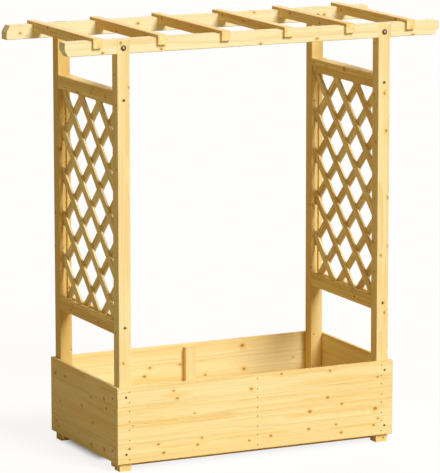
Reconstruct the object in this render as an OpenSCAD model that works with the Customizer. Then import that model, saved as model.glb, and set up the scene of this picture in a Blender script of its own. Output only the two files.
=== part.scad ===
// Raised garden bed with a pergola over it and a lattice trellis at each end.
// X runs along the box, Y from front to back, Z up from the ground.
// The origin is on the ground under the middle of the box.

/* [Box] */
// Length of the box over its outside faces
box_l = 1100; // [960:10:1240]
// Depth of the box over its outside faces
box_w = 600; // [500:10:760]
// Thickness of the wall boards
wall_t = 13; // [12:0.5:18]
// Height that one wall board covers
board_h = 69; // [60:0.5:80]
// Number of boards stacked in each wall
board_n = 4; // [2:1:4]
// Height of the walls' bottom edge above the ground
foot_h = 30; // [26:1:60]
// Thickness of the tongue on a board's top edge
tongue_t = 5; // [4:0.5:6]
// Height of the tongue on a board's top edge
tongue_h = 5; // [3:0.5:7]
// Bevel along the outside edges of every wall board
board_bevel = 1.2; // [0.6:0.1:2]
// Width of the batten inside the middle of each long wall
batten_w = 40; // [30:1:60]
// Thickness of that batten
batten_t = 22; // [21:1:30]
// How far the batten's top stays below the wall's top
batten_drop = 12; // [5:1:30]

/* [Posts] */
// Side of the square posts
post_s = 47; // [42:1:60]
// Height of the posts
post_h = 1542; // [1400:1:1700]
// Bevel along the long edges of the posts, beams, rails and rafters
edge_bevel = 1.5; // [0.8:0.1:3]

/* [Floor] */
// Depth of a floor bearer, front to back
bearer_w = 30; // [25:1:40]
// Height of a floor bearer
bearer_h = 35; // [33:1:45]
// How far the bearers hang below the walls' bottom edge
bearer_drop = 22; // [12:1:24]
// Number of wide floor slats
slat_n = 8; // [5:1:8]
// Thickness of the floor slats
slat_t = 12; // [9:1:18]
// Gap between two floor slats, for draining
slat_gap = 14; // [6:1:20]

/* [Beams] */
// How far the long beams reach past the box at each end
beam_over = 185; // [140:1:240]
// Height of the beams
beam_h = 50; // [46:1:60]
// Thickness of the tongue on a post's top that laps over the beam
lap_t = 23.5; // [18:0.5:28]
// Length of the slanted cut on a beam's end
end_cut_l = 14; // [8:1:24]
// Height of the slanted cut on a beam's end
end_cut_h = 23; // [12:1:30]

/* [Rafters] */
// Number of rafters across the beams
rafter_n = 6; // [4:1:6]
// Distance from a beam's end to the middle of the first rafter
rafter_in = 120; // [90:1:125]
// Width of a rafter
rafter_w = 33; // [28:1:40]
// Height of a rafter
rafter_h = 35; // [30:1:44]
// How far a rafter's top stands above the beams' top
rafter_rise = 10; // [6:1:14]
// Depth of the notches in the beams' top edge
beam_notch = 14; // [8:1:18]
// How far a rafter's end reaches past the beam's outside face
rafter_over = 11; // [6:1:40]

/* [Trellis] */
// Height of the trellis rails
rail_h = 49; // [42:1:60]
// Distance from a post's top down to the top rail
top_rail_drop = 187; // [160:1:260]
// Height of the low rail's top above the box
low_rail_lift = 235; // [160:1:320]
// Distance between lattice slats, measured straight up
lattice_pitch = 156; // [120:1:200]
// Width of a lattice slat
lattice_w = 30; // [22:1:36]
// Thickness of a lattice slat
lattice_t = 8; // [6:0.5:10]
// Distance from the top rail down to the highest crossing
lattice_drop = 5; // [0:1:40]
// Depth of the groove that takes the slats' ends
groove_d = 8; // [5:0.5:10]

/* [Fasteners] */
// Diameter of the wall and floor nails
nail_d = 2.2; // [1.8:0.1:3]
// Length of the wall and floor nails
nail_l = 32; // [26:1:33]
// Diameter of the wall and floor nails' heads
nail_head_d = 4.6; // [3.8:0.1:6]
// Distance between the two nails in one board
nail_spread = 38; // [30:1:42]
// Distance from a post's side to the nails of the long walls
long_nail_in = 33; // [31:1:37]
// Distance from a post's front to the nails of the end walls
side_nail_in = 19; // [13:1:21]
// Distance from a post's side to the screws of the long walls
long_screw_in = 20; // [15:1:23]
// Distance from a post's front to the screws of the end walls
side_screw_in = 32; // [31:1:35]
// Diameter of the wall, rafter and bearer screws
screw_d = 4.5; // [3.5:0.1:5]
// Diameter of the wall, rafter and bearer screws' heads
screw_head_d = 9; // [7:0.1:10]
// Length of the wall screws
wall_screw_l = 38; // [30:1:38]
// Length of the rafter screws
rafter_screw_l = 50; // [40:1:56]
// Length of the bearer screws
bearer_screw_l = 50; // [42:1:50]
// Distance between the two screws at a bearer's end
bearer_screw_spread = 15; // [13:1:16]
// Diameter of the rail screws
rail_screw_d = 5; // [4:0.1:6]
// Diameter of the rail screws' heads
rail_screw_head_d = 11; // [8:0.1:13]
// Length of the rail screws
rail_screw_l = 80; // [70:1:100]
// Depth of a rail screw's head under the post's face
rail_screw_sink = 2; // [0.5:0.5:6]
// Distance from a rail's grooved edge to its screws
rail_screw_in = 22; // [18:1:28]
// Depth of the other screws' heads under the wood
screw_sink = 1; // [0.3:0.1:2]
// Diameter of the lattice nails
pin_d = 1.6; // [1.2:0.1:2]
// Diameter of the lattice nails' heads
pin_head_d = 3.4; // [2.6:0.1:4.4]
// Length of the lattice nails
pin_l = 12; // [8:0.5:14]
// Diameter of the coach bolts
bolt_d = 8; // [6:1:10]
// Diameter of the coach bolts' round heads
bolt_head_d = 21; // [16:1:25]
// Height of the coach bolts' round heads
bolt_head_h = 4.5; // [3.5:0.1:6]
// Distance from a post's top down to its bolt
bolt_drop = 30; // [28:1:34]
// Outside diameter of the bolts' washers
washer_d = 18; // [16:1:24]
// Thickness of the bolts' washers
washer_t = 1.6; // [1:0.1:2.5]
// Width of the bolts' nuts across their flats
nut_af = 13; // [13:0.5:17]
// Height of the bolts' nuts
nut_h = 6.5; // [5:0.5:8]

/* [Fits] */
// Gap each side of a notch, groove or tongue
joint_gap = 0.3; // [0.1:0.05:0.6]
// Gap round a fastener in its hole
hole_gap = 0.1; // [0.05:0.01:0.2]

/* [Hidden] */
round_fn = 24;
dome_fn = 48;
// How far a cutting shape runs past the face that it opens
past = 1;
// How far a drilled hole runs past the fastener's tip
spare = 1;
// Height of the heads of the wall nails and of the lattice nails
nail_head_h = 1;
pin_head_h = 0.8;
// Radius left at a fastener's tip
tip_r = 0.3;
// Slots of the cross in a screw's head
cross_w = 0.9;
cross_d = 1.6;
// Bolt thread that shows past its nut
bolt_tail = 3;
// Depth of the bolt's square neck under its head
neck_h = 5;

half_l = box_l / 2;
half_w = box_w / 2;
wall_top = foot_h + board_n * board_h;
// Outside faces of the posts, inside the walls
post_x = half_l - wall_t;
post_y = half_w - wall_t;
post_mid_x = post_x - post_s / 2;
post_mid_y = post_y - post_s / 2;
// Faces of the posts that look into the box
inner_x = post_x - post_s;
inner_y = post_y - post_s;

beam_l = box_l + 2 * beam_over;
beam_z = post_h - beam_h;
beam_notch_w = rafter_w + 2 * joint_gap;
rafter_pitch = (beam_l - 2 * rafter_in) / (rafter_n - 1);
rafter_top = post_h + rafter_rise;
rafter_z = rafter_top - rafter_h;
seat_z = post_h - beam_notch;
rafter_l = 2 * (post_y + rafter_over);

top_rail_z = post_h - top_rail_drop - rail_h;
low_rail_top = wall_top + low_rail_lift;
low_rail_z = low_rail_top - rail_h;

bearer_z = foot_h - bearer_drop;
bearer_l = 2 * (post_x - joint_gap);
floor_z = bearer_z + bearer_h;
floor_top = floor_z + slat_t;
bearer_mid_y = inner_y - bearer_w / 2;
slat_room = 2 * (inner_x - joint_gap);
slat_pitch = (slat_room + slat_gap) / slat_n;
slat_w = slat_pitch - slat_gap;
slat_l = 2 * (post_y - batten_t - joint_gap);
// The short slats fill the room between two posts
end_slat_w = post_s - 2 * joint_gap;
end_slat_l = 2 * (inner_y - joint_gap);
// Nails stand this far inside a slat's long edges
slat_nail_in = slat_w / 5;

bolt_z = post_h - bolt_drop;
bolt_grip = post_s;
bolt_l = bolt_grip + washer_t + nut_h + bolt_tail;
bolt_r = bolt_d / 2;
dome_r = (pow(bolt_head_d / 2, 2) + pow(bolt_head_h, 2)) / (2 * bolt_head_h);

groove_w = 2 * lattice_t + 2 * joint_gap;
// Slats stop short of the bottom of their grooves
slat_end = groove_d - 2 * joint_gap;
// Height of one crossing on the trellis's middle line
cross_z = top_rail_z - lattice_drop - lattice_pitch / 2;
lattice_span = top_rail_z - low_rail_top + 2 * inner_y;
cross_n = ceil(lattice_span / lattice_pitch);
// Slats whose middle line crosses the opening; k counts them from the middle line's crossing
slat_ks = [for (k = [-cross_n:cross_n])
    if (slat_line(k) > low_rail_top - inner_y && slat_line(k) < top_rail_z + inner_y) k];

board_names = [for (side = ["front", "back", "left", "right"], i = [1:board_n]) str(side, "_board_", i)];
slat_names = [for (i = [1:slat_n]) str("floor_slat_", i)];
rafter_names = [for (i = [1:rafter_n]) str("rafter_", i)];

function board_z(i) = foot_h + (i - 1) * board_h;
// Heights of the two nails in board i, and of every nail in a wall
function nail_zs(i) = [for (s = [-1, 1]) board_z(i) + board_h / 2 + s * nail_spread / 2];
all_nail_zs = [for (i = [1:board_n], z = nail_zs(i)) z];
// Height of the screw in board i; the end walls' screws sit nearer to the wall's mid height
function screw_z(i, shift) = board_z(i) + board_h / 2 + (i == 1 ? shift : -shift);
// Screws hold the lowest and the highest board
function screw_zs(shift) = [screw_z(1, shift), screw_z(board_n, shift)];
side_screw_shift = 2 * screw_d;
function rafter_x(i) = (i - (rafter_n + 1) / 2) * rafter_pitch;
function slat_x(i) = -slat_room / 2 + slat_w / 2 + (i - 1) * slat_pitch;
// Rising slats keep z - y constant and falling slats keep z + y constant
function slat_line(k) = cross_z + k * lattice_pitch;

// Rectangle with its four corners bevelled
module bevelled(w, h, b) {
    polygon([
        [-w / 2 + b, -h / 2], [w / 2 - b, -h / 2], [w / 2, -h / 2 + b], [w / 2, h / 2 - b],
        [w / 2 - b, h / 2], [-w / 2 + b, h / 2], [-w / 2, h / 2 - b], [-w / 2, -h / 2 + b]
    ]);
}

// Bar along X, w deep and h high, with its underside at z = 0
module bar_x(l, w, h, b) {
    translate([0, 0, h / 2]) rotate([90, 0, 90]) linear_extrude(l, center = true) bevelled(w, h, b);
}

// Bar along Y, w wide and h high, with its underside at z = 0
module bar_y(l, w, h, b) {
    translate([0, 0, h / 2]) rotate([90, 0, 0]) linear_extrude(l, center = true) bevelled(w, h, b);
}

// Puts what is drawn for the back right corner into another corner
module in_corner(sx, sy) {
    mirror([(1 - sx) / 2, 0, 0]) mirror([0, (1 - sy) / 2, 0]) children();
}

module in_each_corner() {
    for (sx = [-1, 1], sy = [-1, 1]) in_corner(sx, sy) children();
}

// Nail with its head's top at z = 0 and its point down
module nail(d, l, head_d, head_h) {
    rotate_extrude($fn = round_fn)
        polygon([[0, 0], [head_d / 2, 0], [head_d / 2, -head_h], [d / 2, -head_h],
                 [d / 2, -l + d], [tip_r, -l], [0, -l]]);
}

module nail_hole(d, l, head_d, head_h) {
    rotate_extrude($fn = round_fn)
        polygon([[0, past], [head_d / 2 + hole_gap, past], [head_d / 2 + hole_gap, -head_h - hole_gap],
                 [d / 2 + hole_gap, -head_h - hole_gap], [d / 2 + hole_gap, -l - spare], [0, -l - spare]]);
}

// Countersunk screw with its head's top at z = -sink and its point down
module screw(d, l, head_d, sink) {
    cone_h = (head_d - d) / 2;
    translate([0, 0, -sink]) difference() {
        rotate_extrude($fn = round_fn)
            polygon([[0, 0], [head_d / 2, 0], [d / 2, -cone_h], [d / 2, -l + d], [tip_r, -l], [0, -l]]);
        for (a = [0, 90]) rotate([0, 0, a])
            translate([-head_d / 4, -cross_w / 2, -cross_d]) cube([head_d / 2, cross_w, cross_d + past]);
    }
}

module screw_hole(d, l, head_d, sink) {
    cone_h = (head_d - d) / 2;
    rotate_extrude($fn = round_fn)
        polygon([[0, past], [head_d / 2 + hole_gap, past], [head_d / 2 + hole_gap, -sink],
                 [d / 2 + hole_gap, -sink - cone_h], [d / 2 + hole_gap, -sink - l - spare],
                 [0, -sink - l - spare]]);
}

// Places in the back right corner; each has its own z up out of the wood
module on_long_wall(x, zs) {
    for (z = zs) translate([x, half_w, z]) rotate([-90, 0, 0]) children();
}

module on_end_wall(y, zs) {
    for (z = zs) translate([half_l, y, z]) rotate([0, 90, 0]) children();
}

module at_rail_screws() {
    for (z = [top_rail_z + rail_screw_in, low_rail_top - rail_screw_in])
        translate([post_mid_x, post_y, z]) rotate([-90, 0, 0]) children();
}

module at_bearer_screws() {
    for (s = [-1, 1])
        translate([post_mid_x, inner_y - bearer_w, bearer_z + bearer_h / 2 + s * bearer_screw_spread / 2])
            rotate([90, 0, 0]) children();
}

module at_bolt() {
    translate([post_mid_x, post_y, bolt_z]) rotate([-90, 0, 0]) children();
}

module at_rafter_screws(i) {
    for (s = [-1, 1]) translate([rafter_x(i), s * post_mid_y, rafter_top]) children();
}

module at_slat_nails(x, xs) {
    for (dx = xs, s = [-1, 1]) translate([x + dx, s * bearer_mid_y, floor_top]) children();
}

slat_nail_xs = [-slat_w / 2 + slat_nail_in, slat_w / 2 - slat_nail_in];
// One nail on each side of the bearer's screws
end_slat_nail_xs = [-end_slat_w / 4, end_slat_w / 4];

module wall_nail_hole() {
    nail_hole(nail_d, nail_l, nail_head_d, nail_head_h);
}

module wall_screw_hole() {
    screw_hole(screw_d, wall_screw_l, screw_head_d, screw_sink);
}

// Room for the coach bolt, its head outside, with a square seat for its neck
module bolt_hole() {
    translate([0, 0, -bolt_grip - past]) cylinder(h = bolt_grip + 2 * past, r = bolt_r + hole_gap, $fn = round_fn);
    translate([-bolt_r - hole_gap, -bolt_r - hole_gap, -neck_h - hole_gap])
        cube([bolt_d + 2 * hole_gap, bolt_d + 2 * hole_gap, neck_h + hole_gap + past]);
}

// Notches for the rafters, down to their seats
module rafter_notches() {
    for (i = [1:rafter_n])
        translate([rafter_x(i) - beam_notch_w / 2, -half_w, seat_z])
            cube([beam_notch_w, box_w, beam_notch + past]);
}

// Post of the back right corner
module post_shape() {
    difference() {
        translate([post_mid_x, post_mid_y, 0]) linear_extrude(post_h) bevelled(post_s, post_s, edge_bevel);
        translate([inner_x - past, inner_y - past, beam_z])
            cube([post_s + 2 * past, post_s - lap_t + past, beam_h + past]);
        rafter_notches();
        translate([post_mid_x - groove_w / 2, inner_y - past, low_rail_top - groove_d])
            cube([groove_w, groove_d + past, top_rail_z - low_rail_top + 2 * groove_d]);
        on_long_wall(post_x - long_nail_in, all_nail_zs) wall_nail_hole();
        on_end_wall(post_y - side_nail_in, all_nail_zs) wall_nail_hole();
        on_long_wall(post_x - long_screw_in, screw_zs(0)) wall_screw_hole();
        on_end_wall(post_y - side_screw_in, screw_zs(side_screw_shift)) wall_screw_hole();
        at_rail_screws() screw_hole(rail_screw_d, rail_screw_l, rail_screw_head_d, rail_screw_sink);
        at_bearer_screws() screw_hole(screw_d, bearer_screw_l, screw_head_d, screw_sink);
        at_bolt() bolt_hole();
    }
}

module post(sx, sy) {
    color([0.96, 0.84, 0.58]) in_corner(sx, sy) post_shape();
}

// Cross-section of wall board i, its outside face on the right
module board_profile(i) {
    groove_t = tongue_t + 2 * joint_gap;
    groove_h = tongue_h + joint_gap;
    difference() {
        union() {
            translate([0, board_h / 2]) bevelled(wall_t, board_h, board_bevel);
            if (i < board_n) translate([-tongue_t / 2, board_h / 2]) square([tongue_t, board_h / 2 + tongue_h]);
        }
        if (i > 1) translate([-groove_t / 2, -past]) square([groove_t, groove_h + past]);
    }
}

// Board i of a long wall; s is 1 at the back and -1 at the front
module long_board(s, i) {
    color([0.97, 0.85, 0.60]) mirror([0, (1 - s) / 2, 0]) difference() {
        translate([0, half_w - wall_t / 2, board_z(i)])
            rotate([90, 0, 90]) linear_extrude(box_l, center = true) board_profile(i);
        for (sx = [-1, 1]) in_corner(sx, 1) {
            on_long_wall(post_x - long_nail_in, nail_zs(i)) wall_nail_hole();
            if (i == 1 || i == board_n) on_long_wall(post_x - long_screw_in, screw_zs(0)) wall_screw_hole();
        }
        on_long_wall(0, nail_zs(i)) wall_nail_hole();
    }
}

// Board i of an end wall; s is 1 at the right and -1 at the left
module end_board(s, i) {
    color([0.93, 0.78, 0.50]) mirror([(1 - s) / 2, 0, 0]) difference() {
        translate([half_l - wall_t / 2, 0, board_z(i)])
            rotate([90, 0, 0]) linear_extrude(2 * (post_y - joint_gap), center = true) board_profile(i);
        for (sy = [-1, 1]) in_corner(1, sy) {
            on_end_wall(post_y - side_nail_in, nail_zs(i)) wall_nail_hole();
            if (i == 1 || i == board_n)
                on_end_wall(post_y - side_screw_in, screw_zs(side_screw_shift)) wall_screw_hole();
        }
    }
}

// Upright batten that the middle nails go into
module batten(s) {
    color([0.90, 0.75, 0.50]) mirror([0, (1 - s) / 2, 0]) difference() {
        translate([-batten_w / 2, post_y - batten_t, foot_h])
            cube([batten_w, batten_t, wall_top - foot_h - batten_drop]);
        on_long_wall(0, all_nail_zs) wall_nail_hole();
    }
}

module all_slat_nail_holes() {
    for (i = [1:slat_n]) at_slat_nails(slat_x(i), slat_nail_xs) wall_nail_hole();
    for (sx = [-1, 1]) at_slat_nails(sx * post_mid_x, end_slat_nail_xs) wall_nail_hole();
}

// Bearer along the inside of two posts
module bearer(s) {
    color([0.80, 0.62, 0.38]) difference() {
        translate([0, s * bearer_mid_y, bearer_z]) bar_x(bearer_l, bearer_w, bearer_h, board_bevel);
        for (sx = [-1, 1]) in_corner(sx, s) at_bearer_screws()
            screw_hole(screw_d, bearer_screw_l, screw_head_d, screw_sink);
        all_slat_nail_holes();
    }
}

module floor_slat(i) {
    color([0.88, 0.73, 0.48]) difference() {
        translate([slat_x(i), 0, floor_z]) bar_y(slat_l, slat_w, slat_t, board_bevel);
        at_slat_nails(slat_x(i), slat_nail_xs) wall_nail_hole();
    }
}

module floor_end_slat(sx) {
    color([0.88, 0.73, 0.48]) difference() {
        translate([sx * post_mid_x, 0, floor_z]) bar_y(end_slat_l, end_slat_w, slat_t, board_bevel);
        at_slat_nails(sx * post_mid_x, end_slat_nail_xs) wall_nail_hole();
    }
}

// Slanted cut across a beam's right end; high is 1 for the top corner and 0 for the bottom one
module end_cut(high) {
    edge_z = high * beam_h;
    far_z = edge_z + (high - 0.5) * 4 * end_cut_h;
    cut_z = edge_z - (high - 0.5) * 2 * end_cut_h;
    // The cut line through both points of the bevel, carried on past the end face
    run_z = cut_z + (cut_z - edge_z) / end_cut_l * past;
    translate([0, post_y + past, 0]) rotate([90, 0, 0]) linear_extrude(post_s + 2 * past)
        polygon([[beam_l / 2 - end_cut_l, edge_z], [beam_l / 2 + past, run_z], [beam_l / 2 + past, far_z],
                 [beam_l / 2 - end_cut_l, far_z]]);
}

// Long beam; s is 1 at the back, where the ends slant above, and -1 at the front
module beam(s) {
    color([0.97, 0.86, 0.62]) mirror([0, (1 - s) / 2, 0]) difference() {
        translate([0, post_mid_y, beam_z]) bar_x(beam_l, post_s, beam_h, edge_bevel);
        for (sx = [-1, 1]) in_corner(sx, 1) {
            translate([inner_x - joint_gap, post_y - lap_t, beam_z - past])
                cube([post_s + 2 * joint_gap, lap_t + past, beam_h + 2 * past]);
            translate([0, 0, beam_z]) end_cut((1 + s) / 2);
            at_bolt() bolt_hole();
        }
        rafter_notches();
        for (i = [1:rafter_n]) at_rafter_screws(i)
            screw_hole(screw_d, rafter_screw_l, screw_head_d, screw_sink);
    }
}

// Rafter i, counted from the left, notched over both beams
module rafter(i) {
    notch_l = post_s + 2 * joint_gap;
    color([0.95, 0.82, 0.56]) difference() {
        translate([rafter_x(i), 0, rafter_z]) bar_y(rafter_l, rafter_w, rafter_h, edge_bevel);
        for (s = [-1, 1])
            translate([rafter_x(i) - rafter_w / 2 - past, s * post_mid_y - notch_l / 2, rafter_z - past])
                cube([rafter_w + 2 * past, notch_l, seat_z - rafter_z + past]);
        at_rafter_screws(i) screw_hole(screw_d, rafter_screw_l, screw_head_d, screw_sink);
    }
}

// Trellis rail between two posts; its groove is below on the top rail and above on the low one
module rail(sx, top) {
    z = top ? top_rail_z : low_rail_z;
    groove_z = top ? top_rail_z - past : low_rail_top - groove_d;
    color([0.90, 0.74, 0.48]) difference() {
        translate([sx * post_mid_x, 0, z]) bar_y(2 * inner_y, post_s, rail_h, edge_bevel);
        translate([sx * post_mid_x - groove_w / 2, -inner_y - past, groove_z])
            cube([groove_w, 2 * (inner_y + past), groove_d + past]);
        for (sy = [-1, 1]) in_corner(sx, sy) at_rail_screws()
            screw_hole(rail_screw_d, rail_screw_l, rail_screw_head_d, rail_screw_sink);
    }
}

// The crossings that lie clear of the rails and posts; x is the slats' left face
module at_crossings(x) {
    margin = lattice_w / 2 + pin_head_d;
    for (a = slat_ks, b = slat_ks) {
        y = (slat_line(b) - slat_line(a)) / 2;
        z = (slat_line(b) + slat_line(a)) / 2;
        if (abs(y) < inner_y - margin && z > low_rail_top + margin && z < top_rail_z - margin)
            translate([x, y, z]) rotate([0, -90, 0]) children();
    }
}

// One layer of slats; rise is 1 for slats that climb to the back and -1 for the other way
module lattice_layer(sx, rise) {
    left_x = sx * post_mid_x - lattice_t;
    x = rise > 0 ? left_x : left_x + lattice_t;
    color([0.91, 0.76, 0.50]) difference() {
        intersection() {
            translate([x, -inner_y - slat_end, low_rail_top - slat_end])
                cube([lattice_t, 2 * (inner_y + slat_end), top_rail_z - low_rail_top + 2 * slat_end]);
            for (k = slat_ks)
                translate([x, 0, slat_line(k)]) rotate([rise * 45, 0, 0])
                    translate([0, -lattice_span, -lattice_w / 2]) cube([lattice_t, 2 * lattice_span, lattice_w]);
        }
        at_crossings(left_x) nail_hole(pin_d, pin_l, pin_head_d, pin_head_h);
    }
}

module wall_nails() {
    color([0.55, 0.50, 0.44]) {
        in_each_corner() {
            on_long_wall(post_x - long_nail_in, all_nail_zs) nail(nail_d, nail_l, nail_head_d, nail_head_h);
            on_end_wall(post_y - side_nail_in, all_nail_zs) nail(nail_d, nail_l, nail_head_d, nail_head_h);
        }
        for (s = [-1, 1]) in_corner(1, s)
            on_long_wall(0, all_nail_zs) nail(nail_d, nail_l, nail_head_d, nail_head_h);
    }
}

module wall_screws() {
    color([0.40, 0.35, 0.30]) in_each_corner() {
        on_long_wall(post_x - long_screw_in, screw_zs(0)) screw(screw_d, wall_screw_l, screw_head_d, screw_sink);
        on_end_wall(post_y - side_screw_in, screw_zs(side_screw_shift))
            screw(screw_d, wall_screw_l, screw_head_d, screw_sink);
    }
}

module floor_nails() {
    color([0.55, 0.50, 0.44]) {
        for (i = [1:slat_n]) at_slat_nails(slat_x(i), slat_nail_xs)
            nail(nail_d, nail_l, nail_head_d, nail_head_h);
        for (sx = [-1, 1]) at_slat_nails(sx * post_mid_x, end_slat_nail_xs)
            nail(nail_d, nail_l, nail_head_d, nail_head_h);
    }
}

module bearer_screws() {
    color([0.45, 0.42, 0.38]) in_each_corner() at_bearer_screws()
        screw(screw_d, bearer_screw_l, screw_head_d, screw_sink);
}

module rail_screws() {
    color([0.35, 0.33, 0.30]) in_each_corner() at_rail_screws()
        screw(rail_screw_d, rail_screw_l, rail_screw_head_d, rail_screw_sink);
}

module rafter_screws() {
    color([0.45, 0.42, 0.38]) for (i = [1:rafter_n]) at_rafter_screws(i)
        screw(screw_d, rafter_screw_l, screw_head_d, screw_sink);
}

module trellis_nails() {
    color([0.50, 0.46, 0.40]) for (sx = [-1, 1])
        at_crossings(sx * post_mid_x - lattice_t) nail(pin_d, pin_l, pin_head_d, pin_head_h);
}

// Coach bolt with a round head on the post's outside face and a square neck in the wood
module coach_bolt() {
    intersection() {
        translate([0, 0, bolt_head_h - dome_r]) sphere(r = dome_r, $fn = dome_fn);
        cylinder(h = bolt_head_h, d = bolt_head_d, $fn = dome_fn);
    }
    translate([-bolt_r, -bolt_r, -neck_h]) cube([bolt_d, bolt_d, neck_h]);
    translate([0, 0, -bolt_l]) cylinder(h = bolt_l, r = bolt_r, $fn = round_fn);
}

module beam_bolts() {
    color([0.62, 0.62, 0.64]) in_each_corner() at_bolt() coach_bolt();
}

module bolt_washers() {
    color([0.62, 0.62, 0.64]) in_each_corner() at_bolt() translate([0, 0, -bolt_grip - washer_t])
        difference() {
            cylinder(h = washer_t, d = washer_d, $fn = round_fn);
            translate([0, 0, -past]) cylinder(h = washer_t + 2 * past, r = bolt_r + hole_gap, $fn = round_fn);
        }
}

module bolt_nuts() {
    color([0.62, 0.62, 0.64]) in_each_corner() at_bolt() translate([0, 0, -bolt_grip - washer_t - nut_h])
        difference() {
            cylinder(h = nut_h, d = nut_af / cos(30), $fn = 6);
            translate([0, 0, -past]) cylinder(h = nut_h + 2 * past, r = bolt_r + hole_gap, $fn = round_fn);
        }
}

post(-1, -1);  // post_front_left
post(1, -1);  // post_front_right
post(-1, 1);  // post_back_left
post(1, 1);  // post_back_right
for (i = [1:board_n]) {
    long_board(-1, i);
    long_board(1, i);
    end_board(-1, i);
    end_board(1, i);
}
batten(-1);  // front_batten
batten(1);  // back_batten
bearer(-1);  // front_bearer
bearer(1);  // back_bearer
for (i = [1:slat_n]) {
    floor_slat(i);
}
floor_end_slat(-1);  // floor_end_slat_left
floor_end_slat(1);  // floor_end_slat_right
beam(-1);  // beam_front
beam(1);  // beam_back
for (i = [1:rafter_n]) {
    rafter(i);
}
rail(-1, true);  // trellis_left_top_rail
rail(-1, false);  // trellis_left_low_rail
rail(1, true);  // trellis_right_top_rail
rail(1, false);  // trellis_right_low_rail
lattice_layer(-1, 1);  // trellis_left_outer_slats
lattice_layer(-1, -1);  // trellis_left_inner_slats
lattice_layer(1, 1);  // trellis_right_inner_slats
lattice_layer(1, -1);  // trellis_right_outer_slats
wall_nails();
wall_screws();
floor_nails();
bearer_screws();
rail_screws();
rafter_screws();
trellis_nails();
beam_bolts();
bolt_washers();
bolt_nuts();
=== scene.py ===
"""Dresses the wooden garden bed: a box of tongued boards between four posts, a roof of rafters on two
beams, and a lattice between the posts of each end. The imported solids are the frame, in metres.
"""

import sys
import logging
import math
import random
from dataclasses import dataclass
from enum import Enum
from typing import ClassVar

import bmesh
import bpy
from mathutils import Euler, Matrix, Vector


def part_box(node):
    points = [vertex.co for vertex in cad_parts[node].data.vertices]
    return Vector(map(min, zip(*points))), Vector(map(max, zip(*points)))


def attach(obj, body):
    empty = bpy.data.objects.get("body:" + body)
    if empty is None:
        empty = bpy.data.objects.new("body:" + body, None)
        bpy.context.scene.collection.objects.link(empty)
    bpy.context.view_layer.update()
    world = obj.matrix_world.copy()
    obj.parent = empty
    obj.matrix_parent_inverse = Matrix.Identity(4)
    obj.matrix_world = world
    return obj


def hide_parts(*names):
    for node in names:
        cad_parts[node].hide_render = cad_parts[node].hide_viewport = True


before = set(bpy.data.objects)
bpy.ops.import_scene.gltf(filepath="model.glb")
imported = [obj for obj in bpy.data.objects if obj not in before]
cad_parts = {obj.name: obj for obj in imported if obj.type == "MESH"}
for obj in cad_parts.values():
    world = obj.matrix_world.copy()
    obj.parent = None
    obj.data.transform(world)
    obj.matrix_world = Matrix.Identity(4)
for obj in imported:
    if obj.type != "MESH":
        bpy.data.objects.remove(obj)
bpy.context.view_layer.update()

LOG = logging.getLogger("garden_bed")
MM = 0.001
ROOT = "root"
ENDS = (-1, 1)
ROWS = ("front", "back")
RAFTERS = [f"rafter_{number}" for number in range(1, 7)]
FLOOR_SLATS = [f"floor_slat_{number}" for number in range(1, 9)]
END_SLATS = ["floor_end_slat_left", "floor_end_slat_right"]

# Sizes and places that several parts share, in mm, most of them from the frame's nodes.
POST_LOW, POST_HIGH = (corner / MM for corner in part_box("post_back_right"))
POST_X = (POST_LOW.x + POST_HIGH.x) / 2
POST_Y = (POST_LOW.y + POST_HIGH.y) / 2
WALL_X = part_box("right_board_1")[1].x / MM
WALL_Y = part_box("back_board_1")[1].y / MM
BOARD_N = 4
BOARD_H = 69.0
BOARD_ZS = [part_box(f"back_board_{number + 1}")[0].z / MM + BOARD_H / 2 for number in range(BOARD_N)]
LOW_RAIL_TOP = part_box("trellis_left_low_rail")[1].z / MM
TOP_RAIL_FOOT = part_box("trellis_left_top_rail")[0].z / MM
BOLT_Z = 1512.0

# What is out of reach: a knot, in its radii, and an edge, in metres.
NO_KNOT = 60.0
NO_EDGE = 10.0

# How much of its spot a known knot fills, and how much longer than wide it is.
KNOT_SHARE = 0.88
KNOT_STRETCH = 1.35

Colour = tuple[float, float, float]
Place = tuple[float, float, float]
Spot = tuple[Place, Place]
Socket = bpy.types.NodeSocket
Feed = Socket | float | int | tuple | Vector | Euler
WHITE = (1.0, 1.0, 1.0)
# A pale colour for the front posts' arrises: a painted highlight.
PAINTED_ARRIS_HIGHLIGHT = (0.97, 0.88, 0.6)
KNOT_HEART = (0.18, 0.075, 0.01)
KNOT_RIM = (0.16, 0.06, 0.016)
END_TINT = (1.0, 1.09, 1.2)


class Grain(Enum):
    """The way that a piece's fibres run, as the turn in degrees that lays them on the x axis."""

    ALONG = (0, 0, 0)
    DEEP = (0, 0, -90)
    UPRIGHT = (0, 90, 0)
    RISING = (-45, 0, -90)
    FALLING = (45, 0, -90)

    def turn(self) -> Matrix:
        """Gives the turn, which also lays the piece's depth on the y axis."""
        return Euler([math.radians(angle) for angle in self.value]).to_matrix()


class Side(Enum):
    """One of the two ends of the bed, by the sign of its x."""

    LEFT = -1
    RIGHT = 1

    @property
    def word(self) -> str:
        """The word for this side in the node names."""
        return self.name.lower()


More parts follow.
